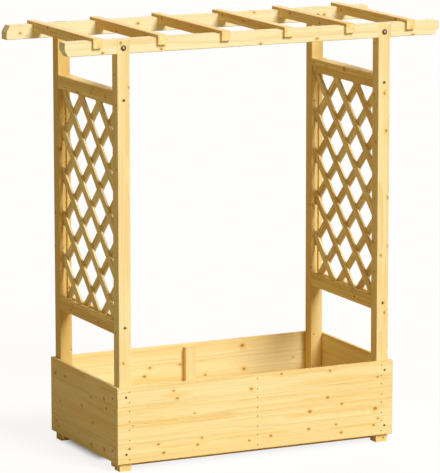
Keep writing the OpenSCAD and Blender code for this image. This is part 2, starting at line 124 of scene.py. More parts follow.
class Wiring:
    """Adds nodes to one tree and joins their sockets."""

    def __init__(self, tree: bpy.types.NodeTree) -> None:
        """Keeps the tree that is being built."""
        self.tree = tree

    def feed(self, socket: Socket, value: Feed) -> None:
        """Joins a socket to another one, or gives it a plain value.

        Args:
            socket: The input socket.
            value: What it gets. A colour has three numbers.
        """
        if isinstance(value, bpy.types.NodeSocket):
            self.tree.links.new(value, socket)
        elif socket.type == "RGBA":
            socket.default_value = (*value, 1.0)
        else:
            socket.default_value = value

    def node(self, kind: str, inputs: dict | None = None, **settings: object) -> bpy.types.Node:
        """Adds one node.

        Args:
            kind: Blender's name for the type of node.
            inputs: What its input sockets get, by name or number.
            settings: The node's own properties.

        Returns:
            The node.
        """
        made = self.tree.nodes.new(kind)
        for key, value in settings.items():
            setattr(made, key, value)
        for key, value in (inputs or {}).items():
            self.feed(made.inputs[key], value)
        return made

    def math(self, operation: str, *values: Feed) -> Socket:
        """Gives the result of a Math node."""
        return self.node("ShaderNodeMath", dict(enumerate(values)), operation=operation).outputs[0]

    def plus(self, first: Feed, second: Feed) -> Socket:
        """Gives a sum."""
        return self.math("ADD", first, second)

    def minus(self, first: Feed, second: Feed) -> Socket:
        """Gives a difference."""
        return self.math("SUBTRACT", first, second)

    def times(self, first: Feed, second: Feed) -> Socket:
        """Gives a product."""
        return self.math("MULTIPLY", first, second)

    def line(self, value: Feed, slope: Feed, start: Feed) -> Socket:
        """Gives the value times the slope, plus the start."""
        return self.math("MULTIPLY_ADD", value, slope, start)

    def vector(self, operation: str, *values: Feed) -> Socket:
        """Gives the result of a Vector Math node, a number for a length or a dot product."""
        made = self.node("ShaderNodeVectorMath", dict(enumerate(values)), operation=operation)
        return made.outputs["Value" if operation in ("LENGTH", "DOT_PRODUCT") else "Vector"]

    def split(self, vector: Feed) -> tuple[Socket, Socket, Socket]:
        """Gives the x, y and z of a vector."""
        return tuple(self.node("ShaderNodeSeparateXYZ", {0: vector}).outputs)

    def join(self, x: Feed, y: Feed, z: Feed) -> Socket:
        """Gives the vector of an x, y and z."""
        return self.node("ShaderNodeCombineXYZ", {0: x, 1: y, 2: z}).outputs[0]

    def ease(self, value: Feed, start: Feed, end: Feed, low: float = 0.0, high: float = 1.0) -> Socket:
        """Maps a number smoothly, from start to end, onto low to high."""
        inputs = {"Value": value, "From Min": start, "From Max": end, "To Min": low, "To Max": high}
        return self.node("ShaderNodeMapRange", inputs, interpolation_type="SMOOTHSTEP").outputs[0]

    def noise(self, place: Feed, scale: Place, detail: float = 2.0,
              roughness: float = 0.5) -> bpy.types.bpy_prop_collection:
        """Adds a noise texture of its own scale on each axis.

        Args:
            place: The place.
            scale: How many bumps a metre holds on each axis.
            detail: How many finer layers it has.
            roughness: How strong the finer layers are.

        Returns:
            Its outputs: a number round 0.5 and a colour.
        """
        inputs = {"Vector": self.vector("MULTIPLY", place, scale), "Scale": 1.0, "Detail": detail,
                  "Roughness": roughness}
        return self.node("ShaderNodeTexNoise", inputs).outputs

    def blend(self, share: Feed, first: Feed, second: Feed, kind: str = "MIX") -> Socket:
        """Mixes a share of the second colour into the first."""
        inputs = {0: share, 6: first, 7: second}
        return self.node("ShaderNodeMix", inputs, data_type="RGBA", blend_type=kind).outputs[2]

    def curve(self, value: Feed, stops: tuple[tuple[float, float], ...]) -> Socket:
        """Gives a number that follows a few stops.

        Args:
            value: A number from 0 to 1.
            stops: Pairs of place and result.

        Returns:
            The result at that number.
        """
        ramp = self.node("ShaderNodeValToRGB", {0: value})
        elements = ramp.color_ramp.elements
        while len(elements) < len(stops):
            elements.new(0.5)
        for element, (place, level) in zip(elements, stops):
            element.position = place
            element.color = (level, level, level, 1.0)
        return ramp.outputs["Color"]


class PatternGroup:
    """A group of shader nodes that every timber shares."""

    def __init__(self, name: str, inputs: dict[str, str], outputs: dict[str, str]) -> None:
        """Makes the group with its sockets.

        Args:
            name: The group's name.
            inputs: The names of its inputs, by kind of socket.
            outputs: The names of its outputs, by kind of socket.
        """
        self.tree = bpy.data.node_groups.new(name, "ShaderNodeTree")
        for way, sockets in (("INPUT", inputs), ("OUTPUT", outputs)):
            for kind, labels in sockets.items():
                for label in labels.split(", "):
                    self.tree.interface.new_socket(label, in_out=way, socket_type="NodeSocket" + kind)
        self.wiring = Wiring(self.tree)
        self.entry = self.wiring.node("NodeGroupInput").outputs
        self.exit = self.wiring.node("NodeGroupOutput").inputs

    def use(self, wiring: Wiring, **inputs: Feed) -> bpy.types.bpy_prop_collection:
        """Adds the group to a tree.

        Args:
            wiring: The tree that uses it.
            inputs: What its inputs get, by name with a low line for each space.

        Returns:
            The outputs of the group's node.
        """
        made = wiring.node("ShaderNodeGroup", node_tree=self.tree)
        for key, value in inputs.items():
            wiring.feed(made.inputs[key.replace("_", " ")], value)
        return made.outputs


class PineGrain(PatternGroup):
    """Sawn pine: rings round the pith, fibres, warm patches, knots, end grain and worn edges, which on the
    front posts are a pale painted highlight.
    """

    # How many bumps a metre of each pattern holds, along the fibres and twice across them.
    bends: Place = (1.1, 9.0, 9.0)
    ripples: Place = (7.0, 60.0, 60.0)
    fades: Place = (1.7, 30.0, 30.0)
    broad_fibres: Place = (2.2, 130.0, 130.0)
    fine_fibres: Place = (16.0, 1100.0, 1100.0)
    pores: Place = (90.0, 2600.0, 2600.0)
    patches: Place = (0.9, 24.0, 24.0)
    crumbs: Place = (160.0, 260.0, 260.0)
    chafes: Place = (45.0, 330.0, 330.0)

    # How far the rings bend, ripple, and swell out round a knot, in metres.
    bend_reach: float = 0.018
    ripple_reach: float = 0.0022
    swell_reach: float = 0.0065

    def __init__(self) -> None:
        """Makes the group."""
        super().__init__(
            "pine_grain",
            {"Vector": "Place", "Color": "Pale, Band, Amber, Knot, Worn",
             "Float": "Ring Step, Contrast, Warmth, Wear, Streak Share, Knot Gap, Edge Gap, End Share"},
            {"Color": "Colour", "Float": "Roughness, Height"},
        )
        w = self.wiring
        end = self.entry["End Share"]
        late, strength = self._rings()
        streak, pores = self._fibres()
        crumble, core, dark = self._knots()
        worn = self._wear()
        colour = w.blend(core, self._clear_wood(late, strength, streak, pores), dark)
        colour = w.blend(end, colour, w.blend(1.0, colour, END_TINT, "MULTIPLY"))
        # The edge colour is wear, and on the front posts a pale painted highlight.
        w.feed(self.exit["Colour"], w.blend(worn, colour, self.entry["Worn"]))
        rough = w.line(core, -0.16, w.line(streak, 0.16, w.line(late, 0.1, 0.56)))
        w.feed(self.exit["Roughness"], w.line(end, 0.1, rough))
        height = w.line(pores, 0.25, w.line(late, 0.35, w.times(streak, 0.7)))
        height = w.line(w.times(crumble, end), 0.6, w.line(core, 0.35, height))
        w.feed(self.exit["Height"], w.line(worn, -0.8, height))

    def _rings(self) -> tuple[Socket, Socket]:
        """Makes the growth rings, which wander and bend round the knots.

        Returns:
            The share of late wood, and how strong this ring is.
        """
        w = self.wiring
        place = self.entry["Place"]
        bent = place
        for scale, reach in ((self.bends, self.bend_reach), (self.ripples, self.ripple_reach)):
            sway = w.vector("SUBTRACT", w.noise(place, scale)["Color"], (0.5, 0.5, 0.5))
            bent = w.vector("ADD", bent, w.vector("MULTIPLY", sway, (0.0, reach, reach)))
        radius = w.vector("LENGTH", w.vector("MULTIPLY", bent, (0.0, 1.0, 1.0)))
        gap = self.entry["Knot Gap"]
        swell = w.math("EXPONENT", w.times(w.times(gap, gap), -0.16))
        turns = w.math("DIVIDE", w.line(swell, self.swell_reach, radius), self.entry["Ring Step"])
        stops = ((0.0, 0.0), (0.35, 0.1), (0.72, 0.62), (0.9, 1.0), (1.0, 0.0))
        late = w.curve(w.math("FRACT", turns), stops)
        ring = w.node("ShaderNodeTexWhiteNoise", {"W": w.math("FLOOR", turns)}, noise_dimensions="1D")
        luck = w.math("POWER", ring.outputs["Value"], 1.6)
        fade = w.noise(place, self.fades, 1.0)[0]
        return late, w.times(w.line(luck, 0.8, 0.2), w.ease(fade, 0.3, 0.6, 0.35, 1.0))

    def _fibres(self) -> tuple[Socket, Socket]:
        """Makes the fibres.

        Returns:
            The streaks and the short fine pores, each round 0.5.
        """
        w = self.wiring
        place = self.entry["Place"]
        broad = w.noise(place, self.broad_fibres, 3.0, 0.6)[0]
        fine = w.noise(place, self.fine_fibres, 2.0, 0.6)[0]
        return w.line(fine, 0.4, w.times(broad, 0.6)), w.noise(place, self.pores, 1.0)[0]

    def _clear_wood(self, late: Socket, strength: Socket, streak: Socket, pores: Socket) -> Socket:
        """Colours the wood between the knots, with its amber.

        Args:
            late: The share of late wood.
            strength: How strong this ring is.
            streak: The fibre streaks.
            pores: The fine pores.

        Returns:
            The colour.
        """
        w = self.wiring
        entry = self.entry
        ring_share = w.times(w.times(late, strength), entry["Contrast"])
        colour = w.blend(ring_share, entry["Pale"], entry["Band"])
        patch = w.noise(entry["Place"], self.patches, 2.5, 0.6)[0]
        halo = w.ease(entry["Knot Gap"], 3.6, 0.9, 0.0, 0.75)
        warm = w.math("MAXIMUM", w.times(w.ease(patch, 0.46, 0.62), entry["Warmth"]), halo)
        colour = w.blend(w.math("MAXIMUM", warm, entry["Streak Share"]), colour, entry["Amber"])
        lift = w.times(w.line(streak, 0.44, 0.775), w.ease(pores, 0.74, 0.6, 0.88, 1.0))
        return w.blend(1.0, colour, w.join(lift, lift, lift), "MULTIPLY")

    def _knots(self) -> tuple[Socket, Socket, Socket]:
        """Makes the knots, with ragged edges, fine rings of their own and a darker rim.

        Returns:
            The crumbs that make them ragged, how much a place lies in a knot, and the knot's colour.
        """
        w = self.wiring
        crumble = w.noise(self.entry["Place"], self.crumbs)[0]
        ragged = w.plus(self.entry["Knot Gap"], w.line(crumble, 0.5, -0.25))
        whorl = w.math("FRACT", w.times(ragged, 3.5))
        heart = w.line(whorl, 0.2, w.ease(ragged, 0.6, 0.1, 0.0, 0.35))
        rim = w.times(w.ease(ragged, 0.75, 1.0), w.ease(ragged, 1.25, 1.05))
        dark = w.blend(w.times(rim, 0.3), w.blend(heart, self.entry["Knot"], KNOT_HEART), KNOT_RIM)
        return crumble, w.ease(ragged, 1.3, 0.7, 0.0, 0.92), dark

    def _wear(self) -> Socket:
        """Gives the share of the edge colour, here more and there less: wear, and on the front posts a
        painted highlight.

        Returns:
            How much of the edge colour a place has.
        """
        w = self.wiring
        chafe = w.noise(self.entry["Place"], self.chafes)[0]
        edge = w.plus(self.entry["Edge Gap"], w.line(chafe, 0.005, -0.0025))
        return w.times(w.ease(edge, 0.0042, 0.0006), self.entry["Wear"])


class EdgeGap(PatternGroup):
    """The distance from a point of a straight bar to the nearest of its long or end edges."""

    def __init__(self) -> None:
        """Makes the group."""
        super().__init__("edge_gap", {"Vector": "Place, Half"}, {"Float": "Gap"})
        w = self.wiring
        inward = w.vector("SUBTRACT", self.entry["Half"], w.vector("ABSOLUTE", self.entry["Place"]))
        a, b, c = w.split(inward)
        low = w.math("MINIMUM", a, b)
        high = w.math("MAXIMUM", a, b)
        w.feed(self.exit["Gap"], w.math("MAXIMUM", low, w.math("MINIMUM", high, c)))


class BranchKnots(PatternGroup):
    """Knots that run outwards from the pith, scattered along the trunk and round it."""

    def __init__(self) -> None:
        """Makes the group."""
        super().__init__("branch_knots", {"Vector": "Place", "Float": "Share, Radius"}, {"Float": "Gap"})
        w = self.wiring
        per_metre, per_radian, stretch = 8.0, 1.15, 1.45
        x, y, z = w.split(self.entry["Place"])
        angle = w.math("ARCTAN2", z, y)
        radius = w.vector("LENGTH", w.join(0.0, y, z))
        cells = w.join(w.times(x, per_metre), w.times(angle, per_radian), 0.0)
        spots = w.node("ShaderNodeTexVoronoi", {"Vector": cells, "Scale": 1.0}, voronoi_dimensions="2D")
        dx, dy, _ = w.split(w.vector("SUBTRACT", spots.outputs["Position"], cells))
        luck, size, _ = w.split(spots.outputs["Color"])
        along = w.math("DIVIDE", dx, per_metre * stretch)
        around = w.times(w.math("DIVIDE", dy, per_radian), radius)
        distance = w.vector("LENGTH", w.join(along, around, 0.0))
        reach = w.times(w.line(size, 0.9, 0.45), self.entry["Radius"])
        absent = w.times(w.math("GREATER_THAN", luck, self.entry["Share"]), NO_KNOT)
        w.feed(self.exit["Gap"], w.plus(w.math("DIVIDE", distance, reach), absent))


class SlatRow(PatternGroup):
    """Splits the crosswise place of a layer of parallel slats into one place for each slat."""

    def __init__(self) -> None:
        """Makes the group."""
        super().__init__("slat_row", {"Vector": "Place", "Float": "Step, Seed"},
                         {"Vector": "Own Place, Grain Place"})
        w = self.wiring
        x, y, z = w.split(self.entry["Place"])
        number = w.math("ROUND", w.math("DIVIDE", z, self.entry["Step"]))
        across = w.minus(z, w.times(number, self.entry["Step"]))
        luck = w.node("ShaderNodeTexWhiteNoise", {"W": w.plus(number, self.entry["Seed"])},
                      noise_dimensions="1D").outputs["Color"]
        a, b, c = w.split(luck)
        w.feed(self.exit["Own Place"], w.join(x, y, across))
        depth = w.plus(y, w.line(b, 0.03, 0.02))
        w.feed(self.exit["Grain Place"], w.join(w.line(a, 20.0, x), depth, w.line(c, 0.05, across)))


@dataclass(frozen=True)
class Knot:
    """A knot that is seen on a piece: its place along and up the front face, and its size, in mm.

    A knot of a side face gives its place in depth for up.
    """

    along: float
    up: float
    size: float = 5.0
    on_side: bool = False


@dataclass(frozen=True)
class Streak:
    """A warm streak in a face, which in some places is painted shade: its start, end, height and half width
    in mm, and its share of amber.
    """

    start: float
    end: float
    up: float
    reach: float = 9.0
    share: float = 0.75


@dataclass(frozen=True)
class Cut:
    """How one piece was sawn from its log.

    Attributes:
        grain: The way that the fibres run.
        pith: Where the log's middle is from the piece's own middle, in depth and in width, in mm.
        knots: The knots whose places are known. None scatters them.
        share: How much of the places for a scattered knot hold one.
        warmth: How much amber the piece has.
        streaks: The warm streaks whose places are known.
        row_step: The distance between the slats of a layer in mm, or 0 for a single piece.
        row_w: The width of such a slat in mm.
    """

    grain: Grain
    pith: tuple[float, float]
    knots: tuple[Knot, ...] | None = None
    share: float = 0.4
    warmth: float = 0.35
    streaks: tuple[Streak, ...] = ()
    row_step: float = 0.0
    row_w: float = 0.0


@dataclass(frozen=True)
class PineFinish:
    """Pine as one part of the bed shows it.

    Attributes:
        slot: The record's material slot.
        pale: The wood between the late rings.
        band: The late wood.
        amber: The warm patches, and the wood round a knot.
        knot: The knots.
        ring_step: The width of a year's ring in mm.
        contrast: How strongly the rings show.
        knot_size: The radius of a scattered knot in mm.
        worn: The colour along the edges: worn wood, which on the front posts is a pale painted highlight.
        wear: How strongly the edges show it.
    """

    slot: str
    pale: Colour = (0.87, 0.715, 0.36)
    band: Colour = (0.8, 0.52, 0.17)
    amber: Colour = (0.84, 0.57, 0.19)
    knot: Colour = (0.52, 0.27, 0.045)
    ring_step: float = 4.2
    contrast: float = 0.85
    knot_size: float = 4.6
    worn: Colour = (0.7, 0.42, 0.13)
    wear: float = 0.3

    # Where along its log a piece lies, in metres, and where a layer of slats starts its luck.
    log_span: ClassVar[tuple[float, float]] = (5, 30)
    row_span: ClassVar[tuple[float, float]] = (0, 40)
    # How much one piece differs from the next.
    step_luck: ClassVar[tuple[float, float]] = (0.85, 1.2)
    contrast_luck: ClassVar[tuple[float, float]] = (0.85, 1.1)
    warmth_luck: ClassVar[tuple[float, float]] = (0.7, 1.3)
    # How far a streak wanders, how far it is full across, and where it ends along, in metres.
    streak_sway: ClassVar[float] = 0.012
    streak_core: ClassVar[float] = 0.001
    streak_ends: ClassVar[tuple[float, float]] = (0.04, -0.02)

    def material(self, name: str, cut: Cut, box: tuple[Vector, Vector],
                 tools: "Timbers") -> bpy.types.Material:
        """Makes the material of one piece, with its own grain and knots.

        Args:
            name: The piece's name, which also seeds its grain.
            cut: How it was sawn.
            box: Its lowest and highest corner.
            tools: The groups of nodes that timber shares.

        Returns:
            The material.
        """
        made = bpy.data.materials.new("pine_" + name)
        made.use_nodes = True
        w = Wiring(made.node_tree)
        luck = random.Random(name)
        turn = cut.grain.turn()
        middle = turn @ ((box[0] + box[1]) / 2)
        half = turn @ ((box[1] - box[0]) / 2)
        source = w.node("ShaderNodeTexCoord").outputs
        mapping = {"Vector": source["Object"], "Location": -middle, "Rotation": turn.to_euler()}
        place = w.node("ShaderNodeMapping", mapping).outputs[0]
        offset = Vector((luck.uniform(*self.log_span), -cut.pith[0] * MM, -cut.pith[1] * MM))
        if cut.row_step:
            row = tools.row.use(w, Place=place, Step=cut.row_step * MM, Seed=luck.uniform(*self.row_span))
            place = row["Own Place"]
            rooted = w.vector("ADD", row["Grain Place"], offset)
            half = Vector((NO_EDGE, (box[1].x - box[0].x) / 2, cut.row_w * MM / 2))
        else:
            rooted = w.vector("ADD", place, offset)
        edge = tools.edge.use(w, Place=place, Half=tuple(abs(n) for n in half))["Gap"]
        if cut.knots is None:
            gap = tools.branches.use(w, Place=rooted, Share=cut.share, Radius=self.knot_size * MM)["Gap"]
        else:
            gap = self._own_knots(w, place, cut.knots, middle)
        axis = tuple(turn.transposed() @ Vector((1, 0, 0)))
        facing = w.math("ABSOLUTE", w.vector("DOT_PRODUCT", source["Normal"], axis))
        look = tools.pine.use(
            w, Place=rooted, Ring_Step=self.ring_step * MM * luck.uniform(*self.step_luck),
            Contrast=self.contrast * luck.uniform(*self.contrast_luck),
            Warmth=cut.warmth * luck.uniform(*self.warmth_luck), Pale=self.pale, Band=self.band,
            Amber=self.amber, Knot=self.knot, Worn=self.worn, Wear=self.wear, Knot_Gap=gap, Edge_Gap=edge,
            End_Share=w.ease(facing, 0.8, 0.97),
            Streak_Share=self._own_streaks(w, place, cut.streaks, middle),
        )
        bump = w.node("ShaderNodeBump", {"Height": look["Height"], "Strength": 0.55, "Distance": 0.0006})
        shader = made.node_tree.nodes["Principled BSDF"].inputs
        for label, value in (("Specular IOR Level", 0.12), ("Base Color", look["Colour"]),
                             ("Roughness", look["Roughness"]), ("Normal", bump.outputs[0])):
            w.feed(shader[label], value)
        return made

    def _own_knots(self, w: Wiring, place: Socket, knots: tuple[Knot, ...], middle: Vector) -> Feed:
        """Gives the distance to the nearest of a piece's known knots, in knot radii.

        Args:
            w: The material's wiring.
            place: The place in the piece, with the fibres on x.
            knots: The knots, which are longer along the fibres.
            middle: The middle of the piece, with the fibres on x.

        Returns:
            The distance.
        """
        gap: Feed = NO_KNOT
        for knot in knots:
            radius = knot.size * KNOT_SHARE * MM
            across = 1 if knot.on_side else 2
            spot = [knot.along * MM - middle.x, 0.0, 0.0]
            scale = [1 / (radius * KNOT_STRETCH), 0.0, 0.0]
            spot[across] = knot.up * MM - middle[across]
            scale[across] = 1 / radius
            scaled = w.vector("MULTIPLY", w.vector("SUBTRACT", place, tuple(spot)), tuple(scale))
            gap = w.math("MINIMUM", gap, w.vector("LENGTH", scaled))
        return gap

    def _own_streaks(self, w: Wiring, place: Socket, streaks: tuple[Streak, ...], middle: Vector) -> Feed:
        """Gives how much a place lies in one of a piece's known warm streaks, which wander a little.

        Args:
            w: The material's wiring.
            place: The place in the piece, with the fibres on x.
            streaks: The streaks.
            middle: The middle of the piece, with the fibres on x.

        Returns:
            The share of amber.
        """
        share: Feed = 0.0
        if not streaks:
            return share
        along, _, up = w.split(place)
        wander = w.noise(place, (11.0, 0.0, 0.0), 1.0)[0]
        swayed = w.plus(up, w.line(wander, self.streak_sway, -self.streak_sway / 2))
        for streak in streaks:
            centre = (streak.start + streak.end) / 2 * MM - middle.x
            beyond = w.minus(w.math("ABSOLUTE", w.minus(along, centre)),
                             (streak.end - streak.start) / 2 * MM)
            away = w.math("ABSOLUTE", w.minus(swayed, streak.up * MM - middle.z))
            across = w.ease(away, streak.reach * MM, self.streak_core, 0.0, streak.share)
            share = w.math("MAXIMUM", share, w.times(w.ease(beyond, *self.streak_ends), across))
        return share


@dataclass(frozen=True)
class SteelFinish:
    """Dull or bright steel.

    Attributes:
        slot: The record's material slot.
        bright: The clean metal.
        dull: The metal where it has gone dull.
        rough: Its lowest roughness.
        spread: How much rougher it gets.
        grain_size: The size of its mottling in mm.
        metal: How much it shines like bare metal.
        axis: The x and z in mm of the heads' middles round which a dark rim is painted, or None.
        rim_rs: How far from a head's middle the painted dark rim begins and is full, in mm.
        rim: The colour of that rim, a painted dark reflection on the domed heads.
    """

    slot: str
    bright: Colour
    dull: Colour
    rough: float
    spread: float
    grain_size: float
    metal: float = 0.9
    axis: tuple[float, float] | None = None
    rim_rs: tuple[float, float] = (1.68, 5.25)
    rim: Colour = (0.1, 0.045, 0.008)

    def material(self) -> bpy.types.Material:
        """Makes the material, with mottled colour and roughness, fine pits, and a painted dark reflection
        round the heads where axis is given.

        Returns:
            The material.
        """
        made = bpy.data.materials.new(self.slot)
        made.use_nodes = True
        w = Wiring(made.node_tree)
        place = w.node("ShaderNodeTexCoord").outputs["Object"]
        step = 1.0 / (self.grain_size * MM)
        cloud = w.noise(place, (step,) * 3, 4.0, 0.6)[0]
        share = w.ease(cloud, 0.36, 0.66)
        colour = w.blend(share, self.bright, self.dull)
        # A dark rim painted round each domed head's middle: a painted reflection.
        if self.axis:
            x, _, z = w.split(place)
            sideways = w.minus(w.math("ABSOLUTE", x), self.axis[0] * MM)
            away = w.vector("LENGTH", w.join(sideways, w.minus(z, self.axis[1] * MM), 0.0))
            start, full = self.rim_rs
            colour = w.blend(w.ease(away, start * MM, full * MM, 0.0, 0.95), colour, self.rim)
        height = w.line(w.noise(place, (step * 6,) * 3)[0], 0.5, cloud)
        bump = w.node("ShaderNodeBump", {"Height": height, "Strength": 0.35, "Distance": 0.0002})
        shader = made.node_tree.nodes["Principled BSDF"].inputs
        for label, value in (("Metallic", self.metal), ("Base Color", colour), ("Normal", bump.outputs[0]),
                             ("Roughness", w.line(share, self.spread, self.rough))):
            w.feed(shader[label], value)
        return made


class Timbers:
    """The groups of nodes that every timber's material shares, and the dressing of its CAD node."""

    def __init__(self) -> None:
        """Makes the groups."""
        self.pine = PineGrain()
        self.edge = EdgeGap()
        self.branches = BranchKnots()
        self.row = SlatRow()

    def dress(self, node: str, finish: PineFinish, cut: Cut) -> None:
        """Gives a CAD node its own piece of pine.

        Args:
            node: The node's name.
            finish: The pine.
            cut: How the piece was sawn.
        """
        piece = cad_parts[node]
        made = finish.material(node, cut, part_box(node), self)
        piece.data.materials.clear()
        piece.data.materials.append(made)
        LOG.info("dressed %s", node)


def pith_of(name: str, near: float, far: float, lean: float, side: int = 1) -> tuple[float, float]:
    """Picks a place for the pith behind a face of one piece.

    Args:
        name: The piece's name, which seeds the choice.
        near: Its least distance in mm.
        far: Its most distance in mm.
        lean: The most degrees that it lies to one side.
        side: 1 where the pith lies towards more depth, -1 towards less.

    Returns:
        Its place in depth and in width, in mm.
    """
    luck = random.Random("pith " + name)
    away = luck.uniform(near, far)
    tilt = math.radians(luck.uniform(-lean, lean))
    return side * away * math.cos(tilt), away * math.sin(tilt)


@dataclass
class Posts:
    """The four corner posts."""

    timbers: Timbers
    # The front posts' edges are painted pale: a painted highlight along their arrises.
    finish: PineFinish = PineFinish("post_wood", contrast=0.8, knot_size=3.8, worn=PAINTED_ARRIS_HIGHLIGHT, wear=0.6)
    # The back posts' finishes are darker and more golden than the front posts', the back left one most:
    # painted shade.
    golden: PineFinish = PineFinish("post_wood", pale=(0.82, 0.63, 0.26), contrast=0.8, knot_size=3.8)
    honey: PineFinish = PineFinish("post_wood", pale=(0.7, 0.5, 0.165), amber=(0.76, 0.5, 0.15),
                                   contrast=0.8, knot_size=3.8)
    knots: ClassVar[dict[str, tuple[Knot, ...]]] = {
        "front_left": (
            Knot(1531, 524, 4.5), Knot(1373, 493, 4.5), Knot(393, 521, 4), Knot(1419, -262, 4, True),
            Knot(1311, -274, 4, True), Knot(1194, -247, 4.5, True), Knot(1086, -276, 4, True),
            Knot(497, -257, 4.5, True)),
        "front_right": (
            Knot(1290, -515, 4.5), Knot(1152, -523, 5), Knot(696, -504, 4.5), Knot(907, -533, 5),
            Knot(729, -535, 5), Knot(483, -521, 4.5), Knot(15, -519, 4), Knot(1283, -254, 4, True),
            Knot(1111, -269, 4.5, True), Knot(742, -250, 4, True), Knot(632, -262, 4, True),
            Knot(360, -251, 4, True)),
    }
    # The wide patches at the front posts' feet, and the long one low on the right front post, are painted
    # shade: the faces turn warmer towards the floor and under the walls.
    streaks: ClassVar[dict[str, tuple[Streak, ...]]] = {
        "front_left": (
            Streak(-40, 40, 513, 40), Streak(1490, 1560, 496, 9), Streak(200, 480, 513, 60, 0.3),
            Streak(700, 1150, 513, 60, 0.2)),
        "front_right": (
            Streak(-40, 60, -513, 40), Streak(440, 650, -523, 7), Streak(1100, 1200, -531, 8),
            Streak(1490, 1560, -531, 9), Streak(330, 420, -506, 14), Streak(-40, 620, -513, 60, 0.35)),
    }

    def build(self) -> None:
        """Dresses the posts."""
        # The back posts are also warmer, as part of their painted shade.
        kinds = {"front": (self.finish, 0.35, 1), "back": (self.golden, 0.7, -1)}
        for corner in (f"{row}_{side.word}" for row in ROWS for side in Side):
            finish, warmth, depth = kinds[corner.split("_")[0]]
            if corner == "back_left":
                finish = self.honey
            pith = pith_of("post_" + corner, near=32, far=48, lean=35, side=depth)
            cut = Cut(Grain.UPRIGHT, pith, self.knots.get(corner), share=0.3, warmth=warmth,
                      streaks=self.streaks.get(corner, ()))
            self.timbers.dress("post_" + corner, finish, cut)


@dataclass
class BoardBox:
    """The four walls of tongued boards, and the battens inside the long ones."""

    timbers: Timbers
    boards: PineFinish = PineFinish("board_wood", wear=0.2)
    inside: PineFinish = PineFinish("inside_wood", pale=(0.85, 0.69, 0.34), contrast=0.8)
    front_knots: tuple[tuple[Knot, ...], ...] = (
        (Knot(-372, 56, 5.5), Knot(-392, 90, 4.5), Knot(-239, 72, 5), Knot(-222, 95, 4), Knot(-33, 65, 4),
         Knot(53, 74, 5), Knot(206, 83, 5), Knot(318, 88, 4), Knot(339, 56, 5), Knot(472, 70, 4.5),
         Knot(-506, 85, 4), Knot(490, 93, 4)),
        (Knot(478, 132, 7), Knot(211, 147, 6.5), Knot(341, 163, 5), Knot(-490, 168, 4)),
        (Knot(283, 192, 5.5), Knot(-250, 188, 3)),
        (Knot(-332, 278, 3.5), Knot(-318, 250, 4.5), Knot(-25, 255, 5), Knot(96, 298, 4.5),
         Knot(292, 291, 4.5), Knot(488, 249, 4.5)),
    )
    left_knots: tuple[tuple[Knot, ...], ...] = (
        (Knot(-180, 60, 5), Knot(-65, 55, 4.5), Knot(235, 58, 5)),
        (Knot(-80, 138, 5.5), Knot(215, 155, 4)),
        (Knot(20, 180, 4.5), Knot(-200, 215, 4.5), Knot(-65, 230, 4.5)),
        (Knot(-180, 247, 5), Knot(170, 258, 5), Knot(260, 252, 5.5)),
    )
    # The full-share lines at 166 and 173 mm, beside the joint between the second and third boards, are
    # painted shadow of that joint.
    front_streaks: tuple[tuple[Streak, ...], ...] = (
        (Streak(-380, -215, 76, 12), Streak(300, 480, 75, 12), Streak(-120, 120, 84, 9),
         Streak(-360, -300, 75.5, 5, 1.0), Streak(350, 465, 73.5, 5, 1.0)),
        (Streak(-500, -100, 160, 10), Streak(120, 520, 138, 12), Streak(350, 560, 166, 6, 1.0)),
        (Streak(-500, -100, 176, 12), Streak(180, 420, 192, 10), Streak(-560, -310, 173, 6, 1.0),
         Streak(-70, -45, 216.5, 4, 1.0)),
        (Streak(-360, -280, 262, 12), Streak(60, 330, 294, 8), Streak(440, 540, 250, 9)),
    )

    def build(self) -> None:
        """Dresses the boards and the battens."""
        unknown = (None,) * BOARD_N
        plain = ((),) * BOARD_N
        for wall, grain, depth, knots, streaks in (
            ("front", Grain.ALONG, 1, self.front_knots, self.front_streaks),
            ("back", Grain.ALONG, -1, unknown, plain),
            ("left", Grain.DEEP, -1, self.left_knots, plain),
            ("right", Grain.DEEP, 1, unknown, plain),
        ):
            for number in range(BOARD_N):
                name = f"{wall}_board_{number + 1}"
                pith = pith_of(name, near=48, far=80, lean=14, side=depth)
                cut = Cut(grain, pith, knots[number], share=0.42, warmth=0.6, streaks=streaks[number])
                self.timbers.dress(name, self.boards, cut)
        for name in (row + "_batten" for row in ROWS):
            pith = pith_of(name, near=25, far=40, lean=40)
            self.timbers.dress(name, self.inside, Cut(Grain.UPRIGHT, pith, share=0.3))


@dataclass
class BoxFloor:
    """The bearers and the floor slats."""

    timbers: Timbers
    finish: PineFinish = PineFinish("inside_wood", pale=(0.85, 0.69, 0.34), contrast=0.85)
    # The bearers' wood is warmer and redder than the other inside wood: painted light, so that their shaded
    # strip under the front wall shows golden.
    bearers: PineFinish = PineFinish("inside_wood", pale=(0.95, 0.66, 0.22), contrast=0.7)

    def build(self) -> None:
        """Dresses the bearers and the slats, which are sawn flat from beside the pith."""
        for name in FLOOR_SLATS + END_SLATS:
            luck = random.Random("pith " + name)
            pith = luck.uniform(-12, 12), luck.choice(ENDS) * luck.uniform(45, 75)
            self.timbers.dress(name, self.finish, Cut(Grain.DEEP, pith, share=0.5))
        for name in (row + "_bearer" for row in ROWS):
            pith = pith_of(name, near=30, far=50, lean=40)
            self.timbers.dress(name, self.bearers, Cut(Grain.ALONG, pith, share=0.4))


